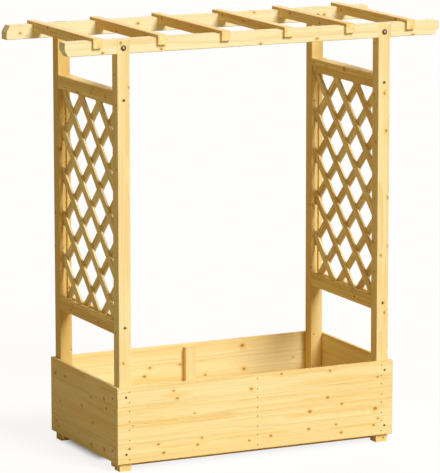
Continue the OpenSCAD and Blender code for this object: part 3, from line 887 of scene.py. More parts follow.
@dataclass
class Roof:
    """The two beams and the rafters that are notched over them."""

    timbers: Timbers
    beams: PineFinish = PineFinish("roof_wood", pale=(0.9, 0.79, 0.48), contrast=0.7, knot_size=3.6)
    rafters: PineFinish = PineFinish("roof_wood", pale=(0.95, 0.72, 0.33), band=(0.72, 0.38, 0.1),
                                     amber=(0.86, 0.54, 0.16), contrast=0.85, knot_size=3.6)
    beam_knots: ClassVar[dict[str, tuple[Knot, ...]]] = {
        "front": (Knot(-592, 1499, 4), Knot(241, 1503, 4), Knot(629, 1496, 4), Knot(-369, 1501, 4),
                  Knot(17, 1497, 4), Knot(138, 1515, 3.5)),
        "back": (Knot(-682, 1514, 4), Knot(-220, 1524, 4.5), Knot(251, 1540, 4), Knot(541, 1515, 4.5)),
    }
    rafter_knots: tuple[tuple[Knot, ...], ...] = (
        (Knot(110, 1546, 5), Knot(-140, 1530, 4)),
        (Knot(60, 1526, 4.5), Knot(-190, 1541, 4)),
        (Knot(209, 1540, 5), Knot(-42, 1541, 5)),
        (Knot(209, 1542, 5), Knot(33, 1538, 5)),
        (Knot(-90, 1529, 4.5), Knot(150, 1541, 4)),
        (Knot(213, 1533, 5), Knot(-211, 1545, 5)),
    )

    def build(self) -> None:
        """Dresses the beams and the rafters."""
        for row, depth in zip(ROWS, (1, -1)):
            pith = pith_of("beam_" + row, near=34, far=52, lean=30, side=depth)
            cut = Cut(Grain.ALONG, pith, self.beam_knots[row], warmth=0.2)
            self.timbers.dress("beam_" + row, self.beams, cut)
        for name, knots in zip(RAFTERS, self.rafter_knots):
            pith = pith_of(name, near=30, far=45, lean=50)
            self.timbers.dress(name, self.rafters, Cut(Grain.DEEP, pith, knots, warmth=0.75))


class Tool:
    """A Geometry Nodes tree with named inputs for its sizes."""

    def __init__(self, name: str, lengths: str, angles: str = "", counts: str = "") -> None:
        """Makes the tree with its inputs.

        Args:
            name: The tree's name.
            lengths: The names of its lengths, with commas between them.
            angles: The name of its angle, if it has one.
            counts: The name of its whole number, if it has one.
        """
        self.tree = bpy.data.node_groups.new(name, "GeometryNodeTree")
        self.lengths = lengths.split(", ")
        face = self.tree.interface
        face.new_socket("Geometry", in_out="OUTPUT", socket_type="NodeSocketGeometry")
        for kind, labels in (("Geometry", ["Geometry"]), ("Float", [*self.lengths, angles]),
                             ("Int", [counts, "Seed"]), ("Material", ["Finish"])):
            for label in filter(None, labels):
                face.new_socket(label, in_out="INPUT", socket_type="NodeSocket" + kind)
        self.w = Wiring(self.tree)
        self.size = self.w.node("NodeGroupInput").outputs

    def close(self, geometry: Socket) -> "Tool":
        """Ends the tree: instances become a real mesh that has its finish.

        Args:
            geometry: The shape so far.

        Returns:
            The finished tool.
        """
        real = self.w.node("GeometryNodeRealizeInstances", {"Geometry": geometry}).outputs[0]
        inputs = {"Geometry": real, "Material": self.size["Finish"]}
        finished = self.w.node("GeometryNodeSetMaterial", inputs).outputs[0]
        self.w.node("NodeGroupOutput", {0: finished})
        return self

    def block(self, size: Socket, middle: Socket | None = None) -> Socket:
        """Makes a block, with its middle at the origin where no place is given."""
        made = self.w.node("GeometryNodeMeshCube", {"Size": size}).outputs[0]
        return self.shift(made, middle) if middle else made

    def shift(self, shape: Socket, by: Socket) -> Socket:
        """Moves a shape."""
        return self.w.node("GeometryNodeTransform", {"Geometry": shape, "Translation": by}).outputs[0]

    def cut(self, shape: Socket | None, *others: Socket) -> Socket:
        """Cuts other shapes from a shape, or leaves what the others share where there is none.

        Args:
            shape: The shape, or None.
            others: The other shapes.

        Returns:
            The result.
        """
        operation = "DIFFERENCE" if shape else "INTERSECT"
        made = self.w.node("GeometryNodeMeshBoolean", {0: shape} if shape else None, operation=operation,
                           solver="EXACT")
        for other in others:
            self.w.feed(made.inputs["Mesh 2"], other)
        return made.outputs[0]

    def turned(self, sides: int, profile: list[tuple[Feed, Feed]]) -> Socket:
        """Turns a profile round the z axis.

        Args:
            sides: How many sides the round has.
            profile: Radius and height of each point, from one end to the other.

        Returns:
            The turned mesh.
        """
        w = self.w
        rows = len(profile)
        grid = w.node("GeometryNodeMeshGrid", {"Vertices X": sides + 1, "Vertices Y": rows}).outputs[0]
        index = w.node("GeometryNodeInputIndex").outputs[0]
        column = w.math("FLOOR", w.math("DIVIDE", w.plus(index, 0.5), rows))
        row = w.minus(index, w.times(column, rows))
        angle = w.times(column, 2 * math.pi / sides)
        radius, height = (self._pick(row, values) for values in zip(*profile))
        x = w.times(radius, w.math("COSINE", angle))
        y = w.times(radius, w.math("SINE", angle))
        moved = w.node("GeometryNodeSetPosition", {"Geometry": grid, "Position": w.join(x, y, height)})
        joined = w.node("GeometryNodeMergeByDistance", {"Geometry": moved.outputs[0], "Distance": 2e-6})
        return joined.outputs[0]

    def _pick(self, row: Socket, values: tuple[Feed, ...]) -> Socket:
        """Gives the value of a point's row.

        Args:
            row: The number of the row.
            values: One value for each row.

        Returns:
            The value.
        """
        made = self.w.node("GeometryNodeIndexSwitch", data_type="FLOAT")
        while len(made.index_switch_items) < len(values):
            made.index_switch_items.new()
        for number, value in enumerate((row, *values)):
            self.w.feed(made.inputs[number], value)
        return made.outputs[0]

    def scatter(self, shape: Socket) -> Socket:
        """Sets a shape at each point of the base, facing as the point does, with a turn of its own.

        Args:
            shape: The shape, whose z axis is what faces.

        Returns:
            The instances.
        """
        w = self.w
        facing = w.node("GeometryNodeInputNamedAttribute", {"Name": "facing"}, data_type="FLOAT_VECTOR")
        aligned = w.node("FunctionNodeAlignRotationToVector", {"Vector": facing.outputs[0]}, axis="Z")
        chance = w.node("FunctionNodeRandomValue", {"Seed": self.size["Seed"], 3: 2 * math.pi},
                        data_type="FLOAT")
        spin = w.node("FunctionNodeAxisAngleToRotation", {"Axis": (0, 0, 1), "Angle": chance.outputs[1]})
        both = {"Rotation": aligned.outputs[0], "Rotate By": spin.outputs[0]}
        turned = w.node("FunctionNodeRotateRotation", both, rotation_space="LOCAL")
        inputs = {"Points": self.size["Geometry"], "Instance": shape, "Rotation": turned.outputs[0]}
        return w.node("GeometryNodeInstanceOnPoints", inputs).outputs[0]

    def run(self, name: str, base: bpy.types.Object, finish: bpy.types.Material, seed: int = 1,
            **sizes: float) -> bpy.types.Object:
        """Runs the tree on a base object and makes a plain mesh of the result.

        Args:
            name: The name of the new piece.
            base: The object that the tree starts from, which is used up.
            finish: The material.
            seed: The fixed seed.
            sizes: The named inputs, with a low line for each space. Lengths are in mm.

        Returns:
            The piece.
        """
        values = {"Seed": seed, "Finish": finish}
        for key, value in sizes.items():
            label = key.replace("_", " ")
            values[label] = value * MM if label in self.lengths else value
        modifier = base.modifiers.new(self.tree.name, "NODES")
        modifier.node_group = self.tree
        for item in self.tree.interface.items_tree:
            if item.item_type == "SOCKET" and item.in_out == "INPUT" and item.name in values:
                modifier[item.identifier] = values[item.name]
        graph = bpy.context.evaluated_depsgraph_get()
        mesh = bpy.data.meshes.new_from_object(base.evaluated_get(graph), depsgraph=graph)
        base.modifiers.remove(modifier)
        bpy.data.objects.remove(base)
        shell = bmesh.new()
        shell.from_mesh(mesh)
        bmesh.ops.recalc_face_normals(shell, faces=shell.faces)
        shell.to_mesh(mesh)
        shell.free()
        mesh.name = name
        return place_object(name, mesh)


def place_object(name: str, data: bpy.types.ID) -> bpy.types.Object:
    """Makes an object and puts it in the scene.

    Args:
        name: Its name.
        data: Its mesh, lamp or camera.

    Returns:
        The object.
    """
    made = bpy.data.objects.new(name, data)
    bpy.context.scene.collection.objects.link(made)
    return made


def marked_points(places: list[Spot]) -> bpy.types.Object:
    """Makes a mesh of points that say which way a fastener's head faces.

    Args:
        places: Pairs of place in mm and facing.

    Returns:
        The object that holds them.
    """
    mesh = bpy.data.meshes.new("points")
    mesh.from_pydata([Vector(place) * MM for place, _ in places], [], [])
    facing = mesh.attributes.new("facing", "FLOAT_VECTOR", "POINT")
    facing.data.foreach_set("vector", [number for _, way in places for number in way])
    return place_object("points", mesh)


def settle(piece: bpy.types.Object, slot: str, *nodes: str, smooth: float = 40.0) -> None:
    """Makes a new piece stand for its CAD nodes.

    Args:
        piece: The piece.
        slot: The record's material slot; not used.
        nodes: The nodes that it stands for.
        smooth: The largest angle in degrees that is shaded as a round.
    """
    piece.data.shade_smooth()
    piece.data.set_sharp_from_angle(angle=math.radians(smooth))
    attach(piece, ROOT)
    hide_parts(*nodes)
    LOG.info("built %s for %s, %d faces", piece.name, ", ".join(nodes), len(piece.data.polygons))


@dataclass
class Lattice:
    """The two crossed layers of slats between the rails of one end, and the rails.

    Attributes:
        side: Which end of the bed it closes.
        timbers: What dresses timber.
        tool: The tree that makes a layer.
        slat_w: The width of a slat in mm.
        round_r: The radius of its rounded edges in mm.
    """

    side: Side
    timbers: Timbers
    tool: Tool
    slat_w: float = 30.0
    round_r: float = 0.7
    slats: PineFinish = PineFinish("lattice_wood", pale=(0.93, 0.8, 0.42), band=(0.55, 0.31, 0.09),
                                   amber=(0.72, 0.43, 0.12), contrast=0.85, knot_size=3.5)
    rails: PineFinish = PineFinish("post_wood", pale=(0.95, 0.75, 0.32), band=(0.52, 0.28, 0.075),
                                   amber=(0.7, 0.42, 0.11), contrast=0.95, knot_size=3.8)
    # The slats of a layer are a pitch apart, measured upwards. One of each layer crosses the middle at
    # the line's height, and the lines are numbered from there.
    pitch: ClassVar[float] = 156.0
    line_z: ClassVar[float] = 1223.0
    lowest: ClassVar[int] = -5
    highest: ClassVar[int] = 2

    def build(self) -> None:
        """Dresses the rails and builds the two layers."""
        for name in (f"trellis_{self.side.word}_{height}_rail" for height in ("top", "low")):
            pith = pith_of(name, near=30, far=45, lean=45)
            self.timbers.dress(name, self.rails, Cut(Grain.DEEP, pith, share=0.3, warmth=0.5))
        for rising in (True, False):
            self._layer(self.layer_node(self.side, rising), rising)

    @staticmethod
    def layer_node(side: Side, rising: bool) -> str:
        """Names the CAD node of a layer. The one that rises towards the back has the lower x."""
        return f"trellis_{side.word}_{'outer' if rising is (side is Side.LEFT) else 'inner'}_slats"

    def _layer(self, node: str, rising: bool) -> None:
        """Builds one layer of parallel slats, between the ends that its CAD node has.

        Args:
            node: The CAD node that it stands for.
            rising: Whether its slats rise towards the back.
        """
        low, high = (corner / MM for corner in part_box(node))
        mid_z = self.line_z - 2 * self.pitch
        box = (Vector((low.x, low.y, mid_z + low.y)) * MM, Vector((high.x, high.y, mid_z + high.y)) * MM)
        cut = Cut(Grain.RISING if rising else Grain.FALLING, (-35, 0), share=0.25, warmth=0.55,
                  row_step=self.pitch / math.sqrt(2), row_w=self.slat_w)
        piece = self.tool.run(
            node + "_pine", place_object("layer", bpy.data.meshes.new("layer")),
            self.slats.material(node, cut, box, self.timbers), Slat_Width=self.slat_w,
            Slat_Thickness=high.x - low.x, Pitch=self.pitch,
            First_Height=self.line_z + self.lowest * self.pitch, Left=low.x, Half_Span=high.y,
            Low=low.z, High=high.z, Lean=math.radians(45 if rising else -45),
            Slats=self.highest - self.lowest + 1,
        )
        bevel = piece.modifiers.new("rounded_edges", "BEVEL")
        bevel.width = self.round_r * MM
        bevel.segments = 2
        bevel.limit_method = "ANGLE"
        bevel.angle_limit = math.radians(30)
        bevel.harden_normals = True
        settle(piece, self.slats.slot, node)

    @staticmethod
    def make_tool() -> Tool:
        """Makes the tree: slats on a line, each leaned and then cut to the opening with its grooves.

        Returns:
            The tree.
        """
        lengths = "Slat Width, Slat Thickness, Pitch, First Height, Left, Half Span, Low, High"
        tool = Tool("lattice_layer", lengths, "Lean", "Slats")
        w, size = tool.w, tool.size
        thick = size["Slat Thickness"]
        mid_x = w.line(thick, 0.5, size["Left"])
        bar = tool.block(w.join(thick, 2.0, size["Slat Width"]))
        line = w.node("GeometryNodeMeshLine", {
            "Count": size["Slats"], "Start Location": w.join(mid_x, 0.0, size["First Height"]),
            "Offset": w.join(0.0, 0.0, size["Pitch"])}).outputs[0]
        lean = w.node("FunctionNodeEulerToRotation", {0: w.join(size["Lean"], 0.0, 0.0)}).outputs[0]
        placed = w.node("GeometryNodeInstanceOnPoints", {"Points": line, "Instance": bar, "Rotation": lean})
        slats = w.node("GeometryNodeRealizeInstances", {0: placed.outputs[0]}).outputs[0]
        tall = w.minus(size["High"], size["Low"])
        window = tool.block(w.join(w.times(thick, 3.0), w.times(size["Half Span"], 2.0), tall),
                            w.join(mid_x, 0.0, w.line(tall, 0.5, size["Low"])))
        return tool.close(tool.cut(None, slats, window))


@dataclass
class Fasteners:
    """Steel fasteners that stand at marked places.

    Attributes:
        steel: Their finish.
        smooth: The largest angle in degrees that is shaded as a round.
    """

    steel: SteelFinish
    smooth: float = 40.0

    def __post_init__(self) -> None:
        """Makes the material that they share."""
        self.finish = self.steel.material()

    def fix(self, node: str, tool: Tool, places: list[Spot], seed: int, **sizes: float) -> None:
        """Builds the fasteners of one CAD node.

        Args:
            node: The node.
            tool: The tree that makes one of them.
            places: The place in mm and the facing of each.
            seed: The seed of their turns.
            sizes: The tree's named sizes in mm.
        """
        piece = tool.run(node + "_steel", marked_points(places), self.finish, seed, **sizes)
        settle(piece, self.steel.slot, node, smooth=self.smooth)


@dataclass
class NailRows(Fasteners):
    """The nails of the walls and of the floor, and the pins where the lattice slats cross, in mm.

    Attributes:
        corner_x: How far from the middle the corner nails of a long wall stand.
        corner_y: How far from the middle the nails of an end wall stand.
        spread: How far from a board's middle its nails stand.
        slat_share: How far out in a floor slat's half width its nails stand.
        end_share: The same for the slats at the ends.
        pin_margin: How far inside the opening a crossing needs to lie to be pinned.
        pin_stand: How far a pin's head stands out.
    """

    steel: SteelFinish = SteelFinish("nail_steel", (0.2, 0.12, 0.025), (0.09, 0.05, 0.01), 0.4, 0.26, 1.6,
                                     0.5)
    corner_x: float = 504.0
    corner_y: float = 268.0
    spread: float = 19.0
    slat_share: float = 0.6
    end_share: float = 0.5
    pin_margin: float = 18.4
    pin_stand: float = 0.3
    nail: ClassVar[dict[str, float]] = {"Head_Diameter": 4.6, "Shank_Diameter": 2.2, "Head_Height": 0.8,
                                        "Length": 32.0}
    pin: ClassVar[dict[str, float]] = {"Head_Diameter": 3.4, "Shank_Diameter": 1.6, "Head_Height": 0.6,
                                       "Length": 12.0}

    def build(self) -> None:
        """Builds the three sets."""
        tool = self.make_tool()
        self.fix("wall_nails", tool, self._walls(), 11, **self.nail)
        self.fix("floor_nails", tool, self._floor(), 12, **self.nail)
        self.fix("trellis_nails", tool, self._crossings(), 13, **self.pin)

    def _walls(self) -> list[Spot]:
        """Lists the nails of the walls.

        Returns:
            The place and facing of each.
        """
        places = []
        for z in (middle + s * self.spread for middle in BOARD_ZS for s in ENDS):
            for s in ENDS:
                places += [((x, s * WALL_Y, z), (0, s, 0)) for x in (-self.corner_x, 0, self.corner_x)]
                places += [((s * WALL_X, y, z), (s, 0, 0)) for y in (-self.corner_y, self.corner_y)]
        return places

    def _floor(self) -> list[Spot]:
        """Lists the nails of the floor, which go into the middles of the bearers.

        Returns:
            The place and facing of each.
        """
        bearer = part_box("back_bearer")
        y = (bearer[0].y + bearer[1].y) / 2 / MM
        places = []
        for slats, share in ((FLOOR_SLATS, self.slat_share), (END_SLATS, self.end_share)):
            for low, high in (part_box(slat) for slat in slats):
                middle = (low.x + high.x) / 2 / MM
                reach = share * (high.x - low.x) / 2 / MM
                places += [((middle + side * reach, s * y, high.z / MM), (0, 0, 1)) for side in ENDS
                           for s in ENDS]
        return places

    def _crossings(self) -> list[Spot]:
        """Lists the pins of the lattices, which stand where a rising slat crosses a falling one.

        Returns:
            The place and facing of each.
        """
        lines = range(Lattice.lowest, Lattice.highest + 1)
        spots = [((b - a) * Lattice.pitch / 2, Lattice.line_z + (a + b) * Lattice.pitch / 2)
                 for a in lines for b in lines]
        span = POST_LOW.y - self.pin_margin
        low = LOW_RAIL_TOP + self.pin_margin
        high = TOP_RAIL_FOOT - self.pin_margin
        xs = [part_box(Lattice.layer_node(side, True))[0].x / MM - self.pin_stand for side in Side]
        return [((x, y, z), (-1, 0, 0)) for x in xs for y, z in spots if abs(y) < span and low < z < high]

    @staticmethod
    def make_tool() -> Tool:
        """Makes the tree: a turned nail with a rounded head and a point, at each marked place.

        Returns:
            The tree.
        """
        tool = Tool("nails", "Head Diameter, Shank Diameter, Head Height, Length")
        w, size = tool.w, tool.size
        head = w.times(size["Head Diameter"], 0.5)
        shank = w.times(size["Shank Diameter"], 0.5)
        under = w.times(size["Head Height"], -1.0)
        deep = w.times(size["Length"], -1.0)
        profile = [(0.0, 0.0), (w.times(head, 0.72), 0.0), (head, w.times(under, 0.3)), (head, under),
                   (shank, under), (shank, w.plus(deep, size["Shank Diameter"])), (0.0, deep)]
        return tool.close(tool.scatter(tool.turned(10, profile)))


@dataclass
class ScrewSet(Fasteners):
    """The screws with a cross in their heads, in mm.

    Attributes:
        small: The shank's width, the head's width, and how deep the head lies below the face.
        large: The same for the screws of the trellis rails.
        corner_x: How far from the middle the screws of a long wall stand.
        corner_y: How far from the middle the screws of an end wall stand.
        shift: How much nearer to the middle height those of an end wall are.
        bearer_in: How far from its edges a bearer's screws stand.
        rail_in: How far into a rail its screws stand, from the edge that meets the lattice.
    """

    steel: SteelFinish = SteelFinish("screw_steel", (0.24, 0.14, 0.03), (0.12, 0.07, 0.012), 0.35, 0.3, 2.2,
                                     0.6)
    small: tuple[float, float, float] = (4.5, 9.0, 1.0)
    large: tuple[float, float, float] = (5.0, 11.0, 2.0)
    corner_x: float = 517.0
    corner_y: float = 255.0
    shift: float = 9.0
    bearer_in: float = 10.0
    rail_in: float = 22.0

    def build(self) -> None:
        """Builds the four sets."""
        tool = self.make_tool()
        foot_z, top_z = BOARD_ZS[0], BOARD_ZS[-1]
        walls = [((x * self.corner_x, s * WALL_Y, z), (0, s, 0)) for x in ENDS for z in (foot_z, top_z)
                 for s in ENDS]
        walls += [((s * WALL_X, y * self.corner_y, z), (s, 0, 0)) for y in ENDS
                  for z in (foot_z + self.shift, top_z - self.shift) for s in ENDS]
        low, high = (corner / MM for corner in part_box("back_bearer"))
        bearers = [((x * POST_X, s * low.y, z), (0, -s, 0)) for x in ENDS
                   for z in (low.z + self.bearer_in, high.z - self.bearer_in) for s in ENDS]
        rails = [((x * POST_X, s * POST_HIGH.y, z), (0, s, 0)) for x in ENDS
                 for z in (TOP_RAIL_FOOT + self.rail_in, LOW_RAIL_TOP - self.rail_in) for s in ENDS]
        rafters = [(((low.x + high.x) / 2 / MM, s * POST_Y, high.z / MM), (0, 0, 1))
                   for low, high in (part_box(name) for name in RAFTERS) for s in ENDS]
        for node, places, (shank, head, sink), length, seed in (
            ("wall_screws", walls, self.small, 38.0, 21),
            ("bearer_screws", bearers, self.small, 50.0, 22),
            ("rail_screws", rails, self.large, 80.0, 23),
            ("rafter_screws", rafters, self.small, 50.0, 24),
        ):
            self.fix(node, tool, places, seed, Shank_Diameter=shank, Head_Diameter=head, Sink=sink,
                     Length=length)

    @staticmethod
    def make_tool() -> Tool:
        """Makes the tree: a countersunk screw with a cross cut in its head, at each marked place.

        Returns:
            The tree.
        """
        tool = Tool("screws", "Head Diameter, Shank Diameter, Sink, Length")
        w, size = tool.w, tool.size
        head = w.times(size["Head Diameter"], 0.5)
        shank = w.times(size["Shank Diameter"], 0.5)
        top = w.times(size["Sink"], -1.0)
        cone = w.minus(top, w.minus(head, shank))
        tip = w.minus(top, size["Length"])
        body = tool.turned(16, [
            (0.0, top), (w.times(head, 0.93), top), (head, w.minus(top, w.times(head, 0.07))),
            (shank, cone), (shank, w.plus(tip, size["Shank Diameter"])), (0.0, tip),
        ])
        wide, narrow, deep = (w.times(head, share) for share in (1.05, 0.24, 0.6))
        lift = w.join(0.0, 0.0, top)
        arms = [tool.block(w.join(x, y, deep), lift) for x, y in ((wide, narrow), (narrow, wide))]
        return tool.close(tool.scatter(tool.cut(body, *arms)))


@dataclass
class CoachBolts(Fasteners):
    """The four coach bolts of the beams, with their washers and nuts.

    Attributes:
        bolt_d: The diameter of the bolt in mm.
        head_d: The diameter of the domed head in mm.
        head_h: The height of the domed head in mm.
        neck_h: The height of the square neck in mm.
        washer_d: The diameter of the washer in mm.
        washer_t: The thickness of the washer in mm.
        nut_af: The width of the nut across its flats in mm.
        nut_h: The height of the nut in mm.
        tail: How far the bolt stands out of the nut in mm.
        seed: The seed of their turns.
    """

    # Their domed heads get a painted dark reflection round the rim.
    steel: SteelFinish = SteelFinish("bolt_steel", (0.62, 0.57, 0.48), (0.4, 0.36, 0.3), 0.28, 0.25, 3.0,
                                     axis=(POST_X, BOLT_Z))
    smooth: float = 35.0
    bolt_d: float = 8.0
    head_d: float = 21.0
    head_h: float = 4.5
    neck_h: float = 5.0
    washer_d: float = 18.0
    washer_t: float = 1.6
    nut_af: float = 13.0
    nut_h: float = 6.5
    tail: float = 3.0
    seed: int = 31

    def build(self) -> None:
        """Builds the bolts, the washers and the nuts."""
        washer_y = POST_LOW.y - self.washer_t
        self.fix("beam_bolts", self.bolt_tool(), self._spots(POST_HIGH.y, 1), self.seed,
                 Head_Diameter=self.head_d, Head_Height=self.head_h, Bolt_Diameter=self.bolt_d,
                 Neck_Height=self.neck_h, Length=POST_HIGH.y - washer_y + self.nut_h + self.tail)
        self.fix("bolt_washers", self.washer_tool(), self._spots(POST_LOW.y, -1), self.seed,
                 Bore=self.bolt_d, Washer_Diameter=self.washer_d, Thickness=self.washer_t)
        self.fix("bolt_nuts", self.nut_tool(), self._spots(washer_y, -1), self.seed,
                 Bore=self.bolt_d, Flats=self.nut_af, Height=self.nut_h)

    def _spots(self, y: float, way: int) -> list[Spot]:
        """Gives the four places at a depth, facing outwards for 1 and inwards for -1."""
        return [((x, s * y, BOLT_Z), (0, way * s, 0)) for x in (-POST_X, POST_X) for s in ENDS]

    @staticmethod
    def bolt_tool() -> Tool:
        """Makes the tree of a bolt: a domed head, a square neck and a tail with a thread.

        Returns:
            The tree.
        """
        tool = Tool("coach_bolt", "Head Diameter, Head Height, Bolt Diameter, Neck Height, Length")
        w, size = tool.w, tool.size
        thread_n, thread_pitch, thread_drop = 9, 0.00125, 0.0006
        head = w.times(size["Head Diameter"], 0.5)
        bolt = w.times(size["Bolt Diameter"], 0.5)
        root = w.times(bolt, 0.86)
        end = w.times(size["Length"], -1.0)
        dome = ((0.0, 1.0), (0.22, 0.96), (0.43, 0.86), (0.62, 0.7), (0.79, 0.48), (0.92, 0.24), (1.0, 0.0))
        profile = [(w.times(head, out), w.times(size["Head Height"], up)) for out, up in dome]
        profile.append((bolt, 0.0))
        for turn in range(thread_n, 0, -1):
            ridge = w.plus(end, thread_pitch * turn)
            profile += [(bolt, ridge), (root, w.minus(ridge, thread_drop))]
        profile += [(root, end), (0.0, end)]
        side = w.times(bolt, 2.0)
        neck = tool.block(w.join(side, side, size["Neck Height"]),
                          w.join(0.0, 0.0, w.times(size["Neck Height"], -0.5)))
        both = w.node("GeometryNodeJoinGeometry")
        for shape in (tool.turned(24, profile), neck):
            w.feed(both.inputs[0], shape)
        return tool.close(tool.scatter(both.outputs[0]))

    @staticmethod
    def washer_tool() -> Tool:
        """Makes the tree of a washer: a flat ring with eased rims.

        Returns:
            The tree.
        """
        tool = Tool("washer", "Bore, Washer Diameter, Thickness")
        w, size = tool.w, tool.size
        slack, eased = 0.0001, 0.0003
        inner = w.line(size["Bore"], 0.5, slack)
        outer = w.times(size["Washer Diameter"], 0.5)
        thick = size["Thickness"]
        profile = [(inner, 0.0), (outer, 0.0), (outer, w.minus(thick, eased)),
                   (w.minus(outer, eased), thick), (inner, thick), (inner, 0.0)]
        return tool.close(tool.scatter(tool.turned(28, profile)))

    @staticmethod
    def nut_tool() -> Tool:
        """Makes the tree of a nut: a hexagon whose corners are turned away, with its bore.

        Returns:
            The tree.
        """
        tool = Tool("nut", "Bore, Flats, Height")
        w, size = tool.w, tool.size
        slack = 0.00005
        corner, flat, ease = (w.times(size["Flats"], share) for share in (1 / math.sqrt(3), 0.49, 0.055))
        tall = size["Height"]
        wide = w.times(corner, 1.02)
        hexagon = w.node("GeometryNodeMeshCylinder", {"Vertices": 6, "Radius": corner, "Depth": tall})
        drum = tool.turned(36, [(0.0, 0.0), (flat, 0.0), (wide, ease), (wide, w.minus(tall, ease)),
                                (flat, tall), (0.0, tall)])
        both = tool.cut(None, tool.shift(hexagon.outputs[0], w.join(0.0, 0.0, w.times(tall, 0.5))), drum)
        bore = w.node("GeometryNodeMeshCylinder", {
            "Vertices": 24, "Radius": w.line(size["Bore"], 0.5, slack), "Depth": w.times(tall, 3.0)})
        return tool.close(tool.scatter(tool.cut(both, bore.outputs[0])))


@dataclass(frozen=True)
class Lamp:
    """A far lamp with soft shadows.

    Attributes:
        name: Its name.
        azimuth: How far round to the right of the front it stands, in degrees.
        elevation: How far above the horizon it stands, in degrees.
        strength: Its strength.
        spread: How wide it is, in degrees.
        colour: Its colour.
    """

    name: str
    azimuth: float
    elevation: float
    strength: float
    spread: float
    colour: Colour

    def build(self) -> None:
        """Adds the lamp."""
        data = bpy.data.lights.new(self.name, "SUN")
        data.energy = self.strength
        data.angle = math.radians(self.spread)
        data.color = self.colour
        a, e = math.radians(self.azimuth), math.radians(self.elevation)
        towards = Vector((math.sin(a) * math.cos(e), -math.cos(a) * math.cos(e), math.sin(e)))
        lamp = place_object(self.name, data)
        lamp.rotation_euler = towards.to_track_quat("Z", "Y").to_euler()
        lamp.location = towards * 6


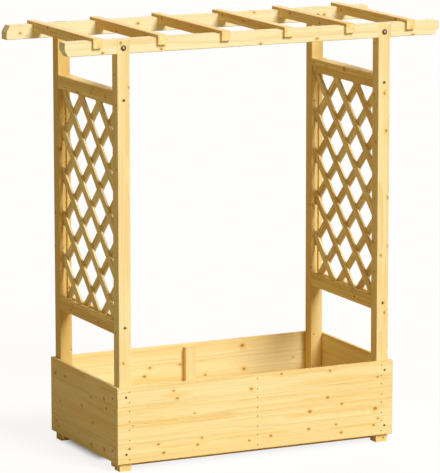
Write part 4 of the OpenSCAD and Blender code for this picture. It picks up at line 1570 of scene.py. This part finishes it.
@dataclass
class Studio:
    """The camera, the pale floor and the soft lamps.

    Attributes:
        eye: Where the camera stands, in metres.
        azimuth: How far round to the left the camera stands, in degrees.
        elevation: How far above the horizon it stands, in degrees.
        roll: How far the picture is turned, in degrees.
        lens: The focal length in mm.
        sensor: The width of the sensor in mm.
        lamps: The main lamp and the one behind the bed.
        fill: The strength of the light from all round.
        fill_colour: The colour of that light.
        floor_half: Half the size of the floor in metres.
        bounce: The floor's colour as the bed's wood sees it.
        shade_x: The distances from the middle between which the floor's shadow fades in, in metres.
        shade_y: The same in depth.
        shade_mid_y: The middle of the shadow in depth, in metres.
        shade: How much of the shadow shows away from the bed.
    """

    eye: Place = (-5.6048, -11.6840, 3.1396)
    azimuth: float = 25.606
    elevation: float = 10.410
    roll: float = -0.065
    lens: float = 275.64
    sensor: float = 36.0
    lamps: tuple[Lamp, ...] = (Lamp("key", 16.0, 37.0, 3.24, 26.0, (1.0, 1.03, 1.08)),
                               Lamp("back", 152.0, 22.0, 0.9, 30.0, (1.0, 0.97, 0.92)))
    fill: float = 0.25
    fill_colour: Colour = (1.0, 0.76, 0.33)
    floor_half: float = 30.0
    bounce: Colour = (0.5, 0.42, 0.26)
    shade_x: tuple[float, float] = (0.56, 0.48)
    shade_y: tuple[float, float] = (0.22, 0.12)
    shade_mid_y: float = 0.09
    shade: float = 0.14

    def build(self) -> None:
        """Sets up the camera, the floor, the lamps and the surroundings."""
        self._camera()
        self._floor()
        for lamp in self.lamps:
            lamp.build()
        self._surroundings()
        bpy.context.scene.view_settings.view_transform = "Standard"

    def _camera(self) -> None:
        """Places the camera where the photograph was taken from."""
        a, e, r = (math.radians(n) for n in (self.azimuth, self.elevation, self.roll))
        back = Vector((-math.sin(a) * math.cos(e), -math.cos(a) * math.cos(e), math.sin(e)))
        right = Vector((math.cos(a), -math.sin(a), 0.0))
        up = back.cross(right)
        across = right * math.cos(r) + up * math.sin(r)
        upright = up * math.cos(r) - right * math.sin(r)
        data = bpy.data.cameras.new("camera")
        data.lens = self.lens
        data.sensor_width = self.sensor
        data.clip_end = 200.0
        camera = place_object("camera", data)
        camera.matrix_world = Matrix((across, upright, back)).transposed().to_4x4()
        camera.location = self.eye
        bpy.context.scene.camera = camera

    def _floor(self) -> None:
        """Lays the floor, which is white to the camera where no shadow falls on it."""
        half = self.floor_half
        mesh = bpy.data.meshes.new("floor")
        mesh.from_pydata([(-half, -half, 0), (half, -half, 0), (half, half, 0), (-half, half, 0)], [],
                         [(0, 1, 2, 3)])
        floor = place_object("floor", mesh)
        made = bpy.data.materials.new("pale_floor")
        made.use_nodes = True
        w = Wiring(made.node_tree)
        w.tree.nodes.remove(w.tree.nodes["Principled BSDF"])
        dull = w.node("ShaderNodeBsdfDiffuse", {"Color": self.bounce}).outputs[0]
        pale = w.node("ShaderNodeBsdfDiffuse", {"Color": WHITE}).outputs[0]
        glow = w.node("ShaderNodeEmission", {"Color": WHITE, "Strength": 1.0}).outputs[0]
        x, y, _ = w.split(w.node("ShaderNodeTexCoord").outputs["Object"])
        beyond_x = w.ease(w.math("ABSOLUTE", x), *self.shade_x)
        beyond_y = w.ease(w.math("ABSOLUTE", w.minus(y, self.shade_mid_y)), *self.shade_y)
        under = w.line(w.times(beyond_x, beyond_y), 1.0 - self.shade, self.shade)
        seen = w.node("ShaderNodeMixShader", {0: under, 1: glow, 2: pale}).outputs[0]
        mixed = w.node("ShaderNodeMixShader", {0: self._seen(w), 1: dull, 2: seen}).outputs[0]
        w.feed(w.tree.nodes["Material Output"].inputs["Surface"], mixed)
        floor.data.materials.append(made)

    @staticmethod
    def _seen(w: Wiring) -> Socket:
        """Gives 1 for the rays by which the camera, metal or glass sees the surroundings.

        Args:
            w: The wiring of the floor or of the surroundings.

        Returns:
            1 or 0.
        """
        ray = w.node("ShaderNodeLightPath").outputs
        either = w.math("MAXIMUM", ray["Is Camera Ray"], ray["Is Glossy Ray"])
        return w.math("MAXIMUM", either, ray["Is Transmission Ray"])

    def _surroundings(self) -> None:
        """Makes the surroundings white to the camera and a soft warm light to the bed."""
        world = bpy.data.worlds.new("surroundings")
        world.use_nodes = True
        bpy.context.scene.world = world
        w = Wiring(world.node_tree)
        w.tree.nodes.clear()
        seen = self._seen(w)
        strength = w.node("ShaderNodeMapRange", {"Value": seen, "To Min": self.fill, "To Max": 1.0})
        light = w.node("ShaderNodeBackground", {"Color": w.blend(seen, self.fill_colour, WHITE),
                                                "Strength": strength.outputs[0]})
        w.node("ShaderNodeOutputWorld", {0: light.outputs[0]})


def main() -> None:
    """Builds and dresses the bed, one sub-assembly after another."""
    logging.basicConfig(level=logging.INFO, format="%(message)s", stream=sys.stdout)
    Studio().build()
    timbers = Timbers()
    for part in (Posts, BoardBox, BoxFloor, Roof):
        part(timbers).build()
    layer_tool = Lattice.make_tool()
    for side in Side:
        Lattice(side, timbers, layer_tool).build()
    for fasteners in (NailRows, ScrewSet, CoachBolts):
        fasteners().build()


if __name__ == "__main__":
    main()
